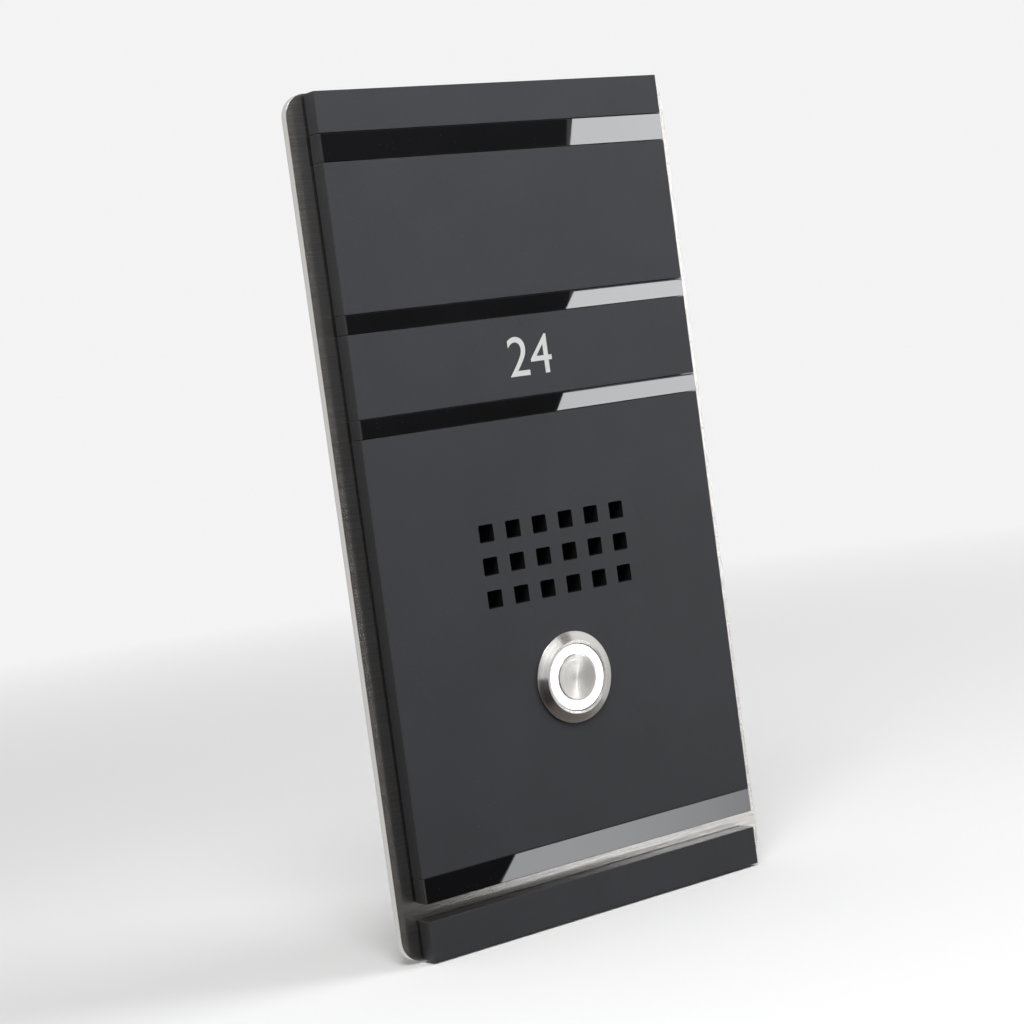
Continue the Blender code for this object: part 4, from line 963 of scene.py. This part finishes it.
class DOORPANEL_OT_house_number(bpy.types.Operator):
    """Print a plain house number on the name panel"""

    bl_idname = "doorpanel.house_number"
    bl_label = "House Number"

    def execute(self, context):
        sizes = context.scene.door_panel_sizes
        low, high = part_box("name_panel")
        text = bpy.data.curves.new("house_number", "FONT")
        text.body = sizes.number
        text.align_x = "CENTER"
        text.align_y = "CENTER"
        text.extrude = 0.00001
        mesh = plain_mesh(in_scene("house_number", text))
        tall = max(point.co.y for point in mesh.vertices) - min(point.co.y for point in mesh.vertices)
        mesh.transform(Matrix.Scale(sizes.number_height / tall, 4))
        spans = [sorted(point.co[side] for point in mesh.vertices) for side in (0, 1)]
        middle = [(span[0] + span[-1]) / 2 for span in spans]
        mesh.transform(Matrix.Translation((-middle[0], -middle[1], 0)))
        mesh.transform(Matrix.Translation(((low.x + high.x) / 2, low.y, (low.z + high.z) / 2)) @ TURN_UP)
        mesh.materials.clear()
        mesh.materials.append(bpy.data.materials["number_paint"])
        item = in_scene("house_number", mesh)
        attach(item, BODY_OF["name_panel"])
        return {"FINISHED"}


class DOORPANEL_OT_push_button(bpy.types.Operator):
    """Turn the bezel with its threaded barrel, the lit ring and the cap"""

    bl_idname = "doorpanel.push_button"
    bl_label = "Push Button"

    def execute(self, context):
        sizes = context.scene.door_panel_sizes
        axis = axis_of("button_housing")
        low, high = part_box("button_housing")
        lens_low, lens_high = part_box("light_ring")
        cap_low, cap_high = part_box("button_cap")
        board_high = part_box("led_board")[1]
        spring_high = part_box("return_spring")[1]
        base_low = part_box("switch_base")[0]
        seal_low, seal_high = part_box("bezel_seal")
        bezel = half_width("button_housing")
        lens = half_width("light_ring")
        cap = half_width("button_cap")
        bore = half_width("switch_base") + SEAT
        barrel = barrel_radius()
        stem = half_width("contact_bridge") - 0.001
        pocket = half_width("led_board") - 0.0026
        seat = seal_high.y
        depth = 0.61 * sizes.barrel_pitch
        groove = half_width("bezel_seal") + SEAT
        groove_floor = seal_low.y - SEAT
        rows = [groove_floor + 0.0005 + sizes.barrel_pitch / 8 * row for row in range(155)]
        rows = [y for y in rows if y < high.y - 0.0006]

        def housing(angle):
            rim = filleted(
                (
                    (bore, low.y + 0.0004, 0),
                    (bore, low.y, 0.00006),
                    (bore + sizes.bezel_rim, low.y, 0.00007),
                    (bezel, seat - sizes.bezel_edge, 0.00009),
                    (bezel, seat, 0.0001),
                    (groove, seat, 0.00005),
                    (groove, groove_floor, 0),
                    (barrel, groove_floor, 0),
                ),
                0.0,
            )
            start = angle / (2 * math.pi)
            crests = [thread_crest(y / sizes.barrel_pitch - start) for y in rows]
            thread = [(barrel - depth * (1 - crest), y) for crest, y in zip(crests, rows)]
            inside = (
                (barrel - depth, high.y - 0.0003),
                (barrel - depth - 0.0003, high.y),
                (bore + 0.0003, high.y),
                (bore, high.y - 0.0003),
                (bore, base_low.y - SEAT),
                (stem, base_low.y - SEAT),
                (stem, spring_high.y + SEAT),
                (pocket, spring_high.y + SEAT),
                (pocket, board_high.y + SEAT),
                (bore, board_high.y + SEAT),
            )
            return rim + thread + list(inside)

        dress("threaded_bezel", turned(housing, axis), "button_housing", finish="turned_steel")
        recess = lens_low.y + (cap_high.y - cap_low.y) * 0.45 + SEAT
        ring = filleted(
            (
                (cap + SEAT, lens_low.y, 0.0001),
                (lens, lens_low.y, 0.00025),
                (lens, lens_high.y, 0.0002),
                (0.0019, lens_high.y, 0.0001),
                (0.0019, recess, 0.0001),
                (cap + SEAT, recess, 0.0001),
            ),
            0.0001,
        )
        dress("lit_ring", turned(lambda angle: ring, axis), "light_ring")
        dish = sizes.cap_dish
        face = [
            (cap * share / 12, cap_low.y + dish * (1 - (share / 12) ** 2) ** 1.5) for share in range(12)
        ]
        shoulder = filleted(
            (
                (cap * 11.3 / 12, cap_low.y + 0.000002, 0),
                (cap, cap_low.y + 0.00003, 0.00018),
                (cap, recess - SEAT, 0.0001),
                (0.0017, recess - SEAT, 0.0001),
                (0.0017, cap_high.y, 0.0001),
                (0.0, cap_high.y, 0),
            ),
            0.0001,
        )
        dress("dished_cap", turned(lambda angle: face + shoulder, axis), "button_cap", finish="turned_steel")
        return {"FINISHED"}


class DOORPANEL_OT_button_rear(bpy.types.Operator):
    """Make what holds the button from behind: washer, nut, switch base, blades and the return spring"""

    bl_idname = "doorpanel.button_rear"
    bl_label = "Button Rear"

    def execute(self, context):
        axis = axis_of("button_housing")
        low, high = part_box("lock_washer")
        outer = half_width("lock_washer")
        bore = outer - WASHER_WIDTH

        def washer(angle):
            tooth = 0.5 - 0.5 * math.cos(24 * angle)
            inner = bore + 0.0005 * tooth
            corners = ((inner, low.y), (outer, low.y), (outer, high.y), (inner, high.y))
            return filleted(corners, 0.00012, 2)

        dress("toothed_washer", turned(washer, axis, 192), "lock_washer")
        dress("button_hex_nut", hex_nut("button_nut", axis, bore), "button_nut")
        low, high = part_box("switch_base")
        radius = half_width("switch_base")
        cavity = radius - 0.0025
        collar = low.y + 0.0092
        base = filleted(
            (
                (cavity, low.y, 0.0001),
                (radius, low.y, 0.0001),
                (radius, collar, 0.0001),
                (radius - 0.0004, collar, 0.0001),
                (radius - 0.0004, high.y, 0.0005),
                (0.0, high.y, 0),
                (0.0, low.y + 0.0085, 0),
                (cavity, low.y + 0.0085, 0.0001),
            ),
            0.0001,
        )
        dress("moulded_switch_base", turned(lambda angle: base, axis), "switch_base")
        blades = nodes_named("switch_terminal")
        dress("terminal_blades", softened(0.00014, *blades), *blades)
        low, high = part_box("return_spring")
        wire = 0.00025
        mean = half_width("return_spring") - wire
        turns = 3.5
        coil = bpy.data.curves.new("coil", "CURVE")
        coil.dimensions = "3D"
        coil.bevel_depth = wire
        coil.bevel_resolution = 3
        coil.use_fill_caps = True
        spline = coil.splines.new("POLY")
        count = 140
        spline.points.add(count)
        for index, point in enumerate(spline.points):
            share = index / count
            angle = 2 * math.pi * turns * share
            y = low.y + wire + share * (high.y - low.y - 2 * wire)
            point.co = (axis[0] + mean * math.cos(angle), y, axis[1] + mean * math.sin(angle), 1)
        spring = dress("coiled_spring", sealed(plain_mesh(in_scene("coil", coil))), "return_spring")
        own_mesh(spring)
        return {"FINISHED"}


def hex_nut(name, axis, bore):
    """A hexagon nut in a node's place, with its corners turned off at both faces and a flat side up."""
    low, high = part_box(name)
    across = high.z - low.z
    turned_off = 0.49 * across

    def section(angle):
        corner = across / 2 / math.cos(angle % (math.pi / 3) - math.pi / 6)
        face = min(corner, turned_off)
        drop = (corner - face) * math.tan(math.radians(30)) + 0.00004
        lead = min(0.0004, 0.3 * (across / 2 - bore))
        return (
            (bore + lead, low.y), (face, low.y), (corner, low.y + drop), (corner, high.y - drop),
            (face, high.y), (bore + lead, high.y), (bore, high.y - lead), (bore, low.y + lead),
        )

    return turned(section, axis, 120)


class DOORPANEL_OT_wall_fixings(bpy.types.Operator):
    """Thread the wall studs and cut the foam strips round the plate's rear"""

    bl_idname = "doorpanel.wall_fixings"
    bl_label = "Wall Fixings"

    def execute(self, context):
        sizes = context.scene.door_panel_sizes
        tree = threaded_stud_tree()
        wall, module = half_width("wall_stud_1"), half_width("module_stud_1")
        flange_width, flange_thickness = 0.001, 0.0008
        for key, pitch, radius, flange in (
            ("wall_stud", sizes.stud_pitch, wall - flange_width, wall),
            ("module_stud", sizes.module_pitch, module, 0.8 * module),
        ):
            studs = nodes_named(key)
            low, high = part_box(studs[0])
            values = {
                "Radius": radius, "Length": high.y - low.y, "Pitch": pitch, "Depth": 0.5 * pitch,
                "Flange Radius": flange, "Flange Thickness": flange_thickness,
                "Finish": bpy.data.materials["zinc_plate"], "Segments": round((high.y - low.y) / pitch * 8),
            }
            places = [(axis_of(name)[0], low.y, axis_of(name)[1]) for name in studs]
            dress(key + "s_threaded", sealed(grown(tree, values, places)), *studs)
        for name in ("wall_seal_left", "wall_seal_right", "wall_seal_top", "wall_seal_bottom"):
            low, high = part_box(name)
            outline = rectangle(low, high, 0.0006, 3)
            dress("foam_" + name, cut_sheet([outline], low.y, high.y, 0.0003), name)
        return {"FINISHED"}


class DOORPANEL_OT_sound_parts(bpy.types.Operator):
    """Weave the sound cloth and roll the speaker's surround"""

    bl_idname = "doorpanel.sound_parts"
    bl_label = "Sound Parts"

    def execute(self, context):
        sizes = context.scene.door_panel_sizes
        low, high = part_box("sound_cloth")
        width, height = high.x - low.x, high.z - low.z
        rise = 0.00004
        values = {
            "Width": width, "Height": height, "Pitch": sizes.cloth_pitch, "Rise": rise,
            "Thickness": high.y - low.y - 2 * rise, "Columns": round(4 * width / sizes.cloth_pitch),
            "Rows": round(4 * height / sizes.cloth_pitch), "Finish": bpy.data.materials["woven_cloth"],
        }
        mesh = grown(woven_sheet_tree(), values)
        x, z = axis_of("sound_cloth")
        mesh.transform(Matrix.Translation((x, high.y - rise, z)) @ TURN_UP)
        cloth = dress("woven_sound_cloth", sealed(mesh), "sound_cloth")
        low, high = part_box("speaker_surround")
        axis = axis_of("speaker_surround")
        inner, outer = half_width("speaker_cone") + SEAT, half_width("speaker_surround")
        sheet = 0.0003
        roll = high.y - low.y - sheet
        front = [
            (inner + (outer - inner) * step / 16, low.y + roll * (1 - math.sin(math.pi * step / 16)))
            for step in range(17)
        ]
        section = front + [(radius, y + sheet) for radius, y in reversed(front)]
        surround = dress("rolled_surround", turned(lambda angle: section, axis), "speaker_surround")
        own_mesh(surround)
        return {"FINISHED"}


class DOORPANEL_OT_module(bpy.types.Operator):
    """Mould the rear housing, its nuts and the terminal block with its screws"""

    bl_idname = "doorpanel.module"
    bl_label = "Module"

    def execute(self, context):
        sizes = context.scene.door_panel_sizes
        dress("moulded_housing", housing_mesh(sizes.housing_edge), "module_housing")
        for name in ("module_nut_1", "module_nut_2"):
            bore = half_width(name.replace("nut", "stud")) + SEAT
            dress("hex_" + name, hex_nut(name, axis_of(name), bore), name)
        screws = nodes_named("terminal_screw")
        dress("moulded_terminal_block", terminal_block_mesh(screws), "terminal_block")
        low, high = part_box(screws[0])
        values = {
            "Radius": half_width(screws[0]), "Length": high.y - low.y, "Slot": 0.0005,
            "Finish": bpy.data.materials["zinc_plate"],
        }
        places = [(axis_of(name)[0], low.y, axis_of(name)[1]) for name in screws]
        dress("slotted_terminal_screws", sealed(grown(slotted_screw_tree(), values, places), 0.0001), *screws)
        return {"FINISHED"}


def terminal_block_mesh(screws):
    """The terminal block: a head with a screw well and a wire entry for each way, on a solid foot."""
    low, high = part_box("terminal_block")
    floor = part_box(screws[0])[0].y - SEAT
    corner = 0.0002
    entry = Vector((0.0014, 0, 0.0014))
    outlines = [rectangle(low, high, corner, 2)]
    for name in screws:
        x, z = axis_of(name)
        outlines.append(circle(x, z, half_width(name) + SEAT))
        middle = Vector((x, 0, low.z + high.z - z))
        outlines.append(rectangle(middle - entry, middle + entry, corner, 2))
    shape = bmesh.new()
    shape.from_mesh(cut_sheet(outlines, floor, high.y, corner))
    shape.from_mesh(prism(outlines[0], low.y, floor))
    return sealed(finished(shape, "terminal_block"))


def housing_mesh(edge):
    """The rear tub with round outer edges, an ear on each side and a window for the terminal block."""
    low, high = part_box("module_housing")
    nut_x, nut_z = axis_of("module_nut_2")
    ear_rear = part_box("module_nut_2")[0].y - SEAT
    block_low, block_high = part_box("terminal_block")
    board = half_width("circuit_board")
    wall = 0.0018
    side = board + 0.0014 + wall
    low, high = Vector((-side, low.y, low.z)), Vector((side, high.y, high.z))
    inner = high.y - wall
    shape = bmesh.new()

    def loop(inset, y):
        shrink = Vector((inset, 0, inset))
        outline = rectangle(low + shrink, high - shrink, max(0.004 - inset, 0.0008), 8)
        return [shape.verts.new((x, y, z)) for x, z in outline]

    rounds = [(math.sin(step * math.pi / 12), math.cos(step * math.pi / 12)) for step in range(7)]
    loops = [loop(edge * (1 - across), high.y - edge * (1 - along)) for along, across in reversed(rounds)]
    loops += [loop(0, low.y), loop(wall, low.y), loop(wall, inner)]
    for first, second in zip(loops, loops[1:]):
        for index in range(len(first)):
            shape.faces.new((first[index - 1], first[index], second[index], second[index - 1]))
    shape.faces.new(loops[0])
    shape.faces.new(loops[-1])
    item = in_scene("tub", sealed(finished(shape, "tub")))
    helpers = []
    root, reach = side - wall / 2, nut_x + 0.004
    ear_half, ear_round, stud_hole = 0.005, 0.003, 0.0018
    for way in (-1, 1):
        corners = (
            (way * root, nut_z - ear_half, 0.0001), (way * reach, nut_z - ear_half, ear_round),
            (way * reach, nut_z + ear_half, ear_round), (way * root, nut_z + ear_half, 0.0001),
        )
        hole = circle(way * nut_x, nut_z, stud_hole)
        helpers.append((prism(filleted(corners, 0.001, 8), low.y, ear_rear, 0.0003), "UNION"))
        helpers.append((prism(hole, low.y - 0.001, ear_rear + 0.001), "DIFFERENCE"))
    room = Vector((SLIP, 0, SLIP))
    window = rectangle(block_low - room, block_high + room, 0.0005, 4)
    helpers.append((prism(window, inner - 0.003, high.y + 0.003), "DIFFERENCE"))
    cutters = []
    for mesh, operation in helpers:
        cutter = in_scene("helper", mesh)
        cutters.append(cutter)
        modifier = item.modifiers.new(operation, "BOOLEAN")
        modifier.operation = operation
        modifier.solver = "EXACT"
        modifier.object = cutter
    mesh = plain_mesh(item)
    for cutter in cutters:
        bpy.data.objects.remove(cutter)
    return sealed(mesh)


# Outlines of the studio cards, as (x, z) on their plane in front of the panel
CARD_Y = -1.2
DARK_SIDE = (
    (-1.2, 1.7), (1.30, 1.7), (1.20, 1.2), (1.0, 0.5), (0.97, 0.32), (0.935, 0.087), (0.91, -0.02),
    (0.77, -0.10), (0.77, -0.33), (0.80, -0.362), (0.768, -0.43), (0.60, -1.0), (-1.2, -1.0),
)
BEZEL_CARD = (
    (0.60, 0.66), (0.52, 0.92), (0.22, 0.86), (-0.28, 0.50), (-0.48, -0.06), (-0.20, -0.06), (-0.02, 0.27),
    (0.36, 0.58),
)
STRIP_CARDS = (
    ("strip_card_1", (0.9591, 0.2567), (0.9477, 0.2010), 12.2, 12.2),
    ("strip_card_2", (0.9340, 0.1036), (0.9205, 0.0630), 12.9, 12.9),
    ("strip_card_3", (0.9075, 0.0171), (0.8967, -0.0245), 11.8, 11.8),
    ("strip_card_4", (0.7907, -0.3661), (0.7703, -0.4139), 7.2, 4.8),
)
CARD_RIGHT = 1.0585


class DOORPANEL_OT_stage(bpy.types.Operator):
    """Set the camera, floor, lamps and the cards that the gloss strips mirror"""

    bl_idname = "doorpanel.stage"
    bl_label = "Stage"

    def execute(self, context):
        values = context.scene.door_panel_stage
        set_camera(context, values)
        set_world(context, values)
        set_floor(values)
        behind = [(x, CARD_Y - 0.01, z) for x, z in DARK_SIDE]
        set_card("dark_side", behind, (0.02, 0.4), "Z", (1.0, 0.96, 0.92))
        for name, top, bottom, near, far in STRIP_CARDS:
            outline = (top, bottom, (CARD_RIGHT, bottom[1]), (CARD_RIGHT, top[1]))
            set_card(name, [(x, CARD_Y, z) for x, z in outline], (near, far), "X")
        edge = ((CARD_RIGHT, 0.40), (CARD_RIGHT, -0.50), (1.16, -0.50), (1.16, 0.40))
        set_card("edge_card", [(x, CARD_Y, z) for x, z in edge], (1.7, 0.3), "Z")
        set_card("bezel_card", [(x, CARD_Y, z) for x, z in BEZEL_CARD], (1.2, 2.9), "Z")
        ground = ((-2.5, -2.5, -0.95), (2.5, -2.5, -0.95), (2.5, -0.15, -0.95), (-2.5, -0.15, -0.95))
        set_card("ground_card", ground, (0.135, 0.135), "X", (1.0, 0.9, 0.82))
        right = ((1.2, -0.35, -0.25), (1.2, -0.35, -0.62), (1.2, 0.1, -0.62), (1.2, 0.1, -0.25))
        set_card("right_card", right, (0.85, 0.85), "Z")
        set_lamp("key_lamp", (-0.2, -0.27, 0.43), 0.22, values.key)
        set_lamp("side_lamp", (0.82, -0.44, 0.64), 0.5, values.side).visible_glossy = False
        return {"FINISHED"}


def set_camera(context, values):
    """A camera at the photograph's viewing angle."""
    camera = in_scene("camera", bpy.data.cameras.new("camera"))
    camera.data.lens = values.lens
    camera.data.sensor_width = 36.0
    camera.data.clip_start = 0.01
    level = math.cos(values.dip)
    across, along = math.sin(values.heading) * level, math.cos(values.heading) * level
    ahead = Vector((across, along, -math.sin(values.dip)))
    flat_right = ahead.cross(Vector((0, 0, 1))).normalized()
    flat_up = flat_right.cross(ahead)
    right = math.cos(values.roll) * flat_right + math.sin(values.roll) * flat_up
    up = right.cross(ahead)
    place = Matrix((right, up, -ahead)).transposed().to_4x4()
    place.translation = Vector(values.aim) - values.distance * ahead
    camera.matrix_world = place
    context.scene.camera = camera


def set_world(context, values):
    """Even light, weaker from below, and a pale backdrop that the camera, metal and gloss see."""
    context.scene.view_settings.view_transform = "Standard"
    world = bpy.data.worlds.new("studio")
    world.use_nodes = True
    context.scene.world = world
    tree = world.node_tree
    path = node(tree, "ShaderNodeLightPath").outputs
    seen = maths(tree, "MAXIMUM", path["Is Camera Ray"], path["Is Glossy Ray"])
    seen = maths(tree, "MAXIMUM", seen, path["Is Transmission Ray"])
    upward = parts_of(tree, node(tree, "ShaderNodeTexCoord").outputs["Generated"])["Z"]
    level = between(tree, upward, -0.25, 0.25, values.below, values.ambient)
    even = node(tree, "ShaderNodeBackground", {"Color": (1, 1, 1, 1), "Strength": level})
    pale = node(tree, "ShaderNodeBackground", {"Color": tone(values.backdrop), "Strength": 1.0})
    mixed = node(tree, "ShaderNodeMixShader", {0: seen, 1: even.outputs[0], 2: pale.outputs[0]})
    tree.links.new(mixed.outputs[0], tree.nodes["World Output"].inputs["Surface"])


def set_floor(values):
    """A wide pale floor that takes the object's shadow and fades into the backdrop."""
    low = CAD_BOX[0]
    mesh = bpy.data.meshes.new("floor")
    size = 8.0
    corners = [(x * size, y * size, low[2] - 0.0004) for x, y in ((-1, -1), (1, -1), (1, 1), (-1, 1))]
    mesh.from_pydata(corners, [], [(0, 1, 2, 3)])
    floor = in_scene("floor", mesh)
    finish = bpy.data.materials.new("floor")
    finish.use_nodes = True
    tree = finish.node_tree
    shader = tree.nodes["Principled BSDF"]
    shader.inputs["Base Color"].default_value = tone(values.floor)
    shader.inputs["Roughness"].default_value = 0.9
    shader.inputs["Specular IOR Level"].default_value = 0.1
    place = object_place(tree)
    flat = vector_maths(tree, "MULTIPLY", place, (1.0, 1.0, 0.0))[0]
    far = vector_maths(tree, "LENGTH", flat)["Value"]
    glow = node(tree, "ShaderNodeEmission", {"Color": tone(values.backdrop), "Strength": 1.0})
    share = between(tree, far, 0.25, 0.9)
    mixed = node(tree, "ShaderNodeMixShader", {0: share, 1: shader.outputs[0], 2: glow.outputs[0]})
    tree.links.new(mixed.outputs[0], tree.nodes["Material Output"].inputs["Surface"])
    mesh.materials.append(finish)
    floor.visible_glossy = False
    floor.visible_diffuse = False


def set_card(name, corners, strengths, along, colour=(0.97, 0.98, 1.0)):
    """A flat card that only shows in gloss and metal. Its strength changes along an axis between its ends."""
    mesh = bpy.data.meshes.new(name)
    mesh.from_pydata(corners, [], [tuple(range(len(corners)))])
    card = in_scene(name, mesh)
    finish = bpy.data.materials.new(name)
    finish.use_nodes = True
    tree = finish.node_tree
    across = parts_of(tree, object_place(tree))[along]
    ends = sorted(corner["XYZ".index(along)] for corner in corners)
    share = maths(tree, "POWER", between(tree, across, ends[0], ends[-1]), 2.0)
    strength = between(tree, share, 0.0, 1.0, *strengths)
    glow = node(tree, "ShaderNodeEmission", {"Color": tone(colour), "Strength": strength})
    tree.links.new(glow.outputs[0], tree.nodes["Material Output"].inputs["Surface"])
    mesh.materials.append(finish)
    card.visible_camera = False
    card.visible_diffuse = False
    card.visible_transmission = False
    card.visible_shadow = False


def set_lamp(name, place, size, power):
    """A square soft lamp that points at the panel."""
    lamp = bpy.data.lights.new(name, "AREA")
    lamp.energy = power
    lamp.size = size
    item = in_scene(name, lamp)
    item.location = place
    item.rotation_euler = (-Vector(place)).to_track_quat("-Z", "Y").to_euler()
    item.visible_camera = False
    return item


STEPS = (
    DOORPANEL_OT_finishes, DOORPANEL_OT_front_pieces, DOORPANEL_OT_grille_sheets, DOORPANEL_OT_house_number,
    DOORPANEL_OT_push_button, DOORPANEL_OT_button_rear, DOORPANEL_OT_wall_fixings, DOORPANEL_OT_sound_parts,
    DOORPANEL_OT_module, DOORPANEL_OT_stage,
)


class DOORPANEL_PT_sidebar(bpy.types.Panel):
    """The steps, sizes and colours of the door panel"""

    bl_idname = "DOORPANEL_PT_sidebar"
    bl_label = "Door Panel"
    bl_space_type = "VIEW_3D"
    bl_region_type = "UI"
    bl_category = "Door Panel"

    def draw(self, context):
        for step in STEPS:
            self.layout.operator(step.bl_idname)
        scene = context.scene
        for group in (scene.door_panel_sizes, scene.door_panel_colours, scene.door_panel_stage):
            for name in type(group).__annotations__:
                self.layout.prop(group, name)


CLASSES = (DOORPANEL_PG_sizes, DOORPANEL_PG_colours, DOORPANEL_PG_stage, *STEPS, DOORPANEL_PT_sidebar)


def register():
    for kind in CLASSES:
        bpy.utils.register_class(kind)
    bpy.types.Scene.door_panel_sizes = PointerProperty(type=DOORPANEL_PG_sizes)
    bpy.types.Scene.door_panel_colours = PointerProperty(type=DOORPANEL_PG_colours)
    bpy.types.Scene.door_panel_stage = PointerProperty(type=DOORPANEL_PG_stage)


def unregister():
    del bpy.types.Scene.door_panel_stage
    del bpy.types.Scene.door_panel_colours
    del bpy.types.Scene.door_panel_sizes
    for kind in reversed(CLASSES):
        bpy.utils.unregister_class(kind)


def main():
    """Runs the steps in order."""
    register()
    bpy.ops.doorpanel.finishes()
    bpy.ops.doorpanel.front_pieces()
    bpy.ops.doorpanel.grille_sheets()
    bpy.ops.doorpanel.house_number()
    bpy.ops.doorpanel.push_button()
    bpy.ops.doorpanel.button_rear()
    bpy.ops.doorpanel.wall_fixings()
    bpy.ops.doorpanel.sound_parts()
    bpy.ops.doorpanel.module()
    bpy.ops.doorpanel.stage()


if __name__ == "__main__":
    main()
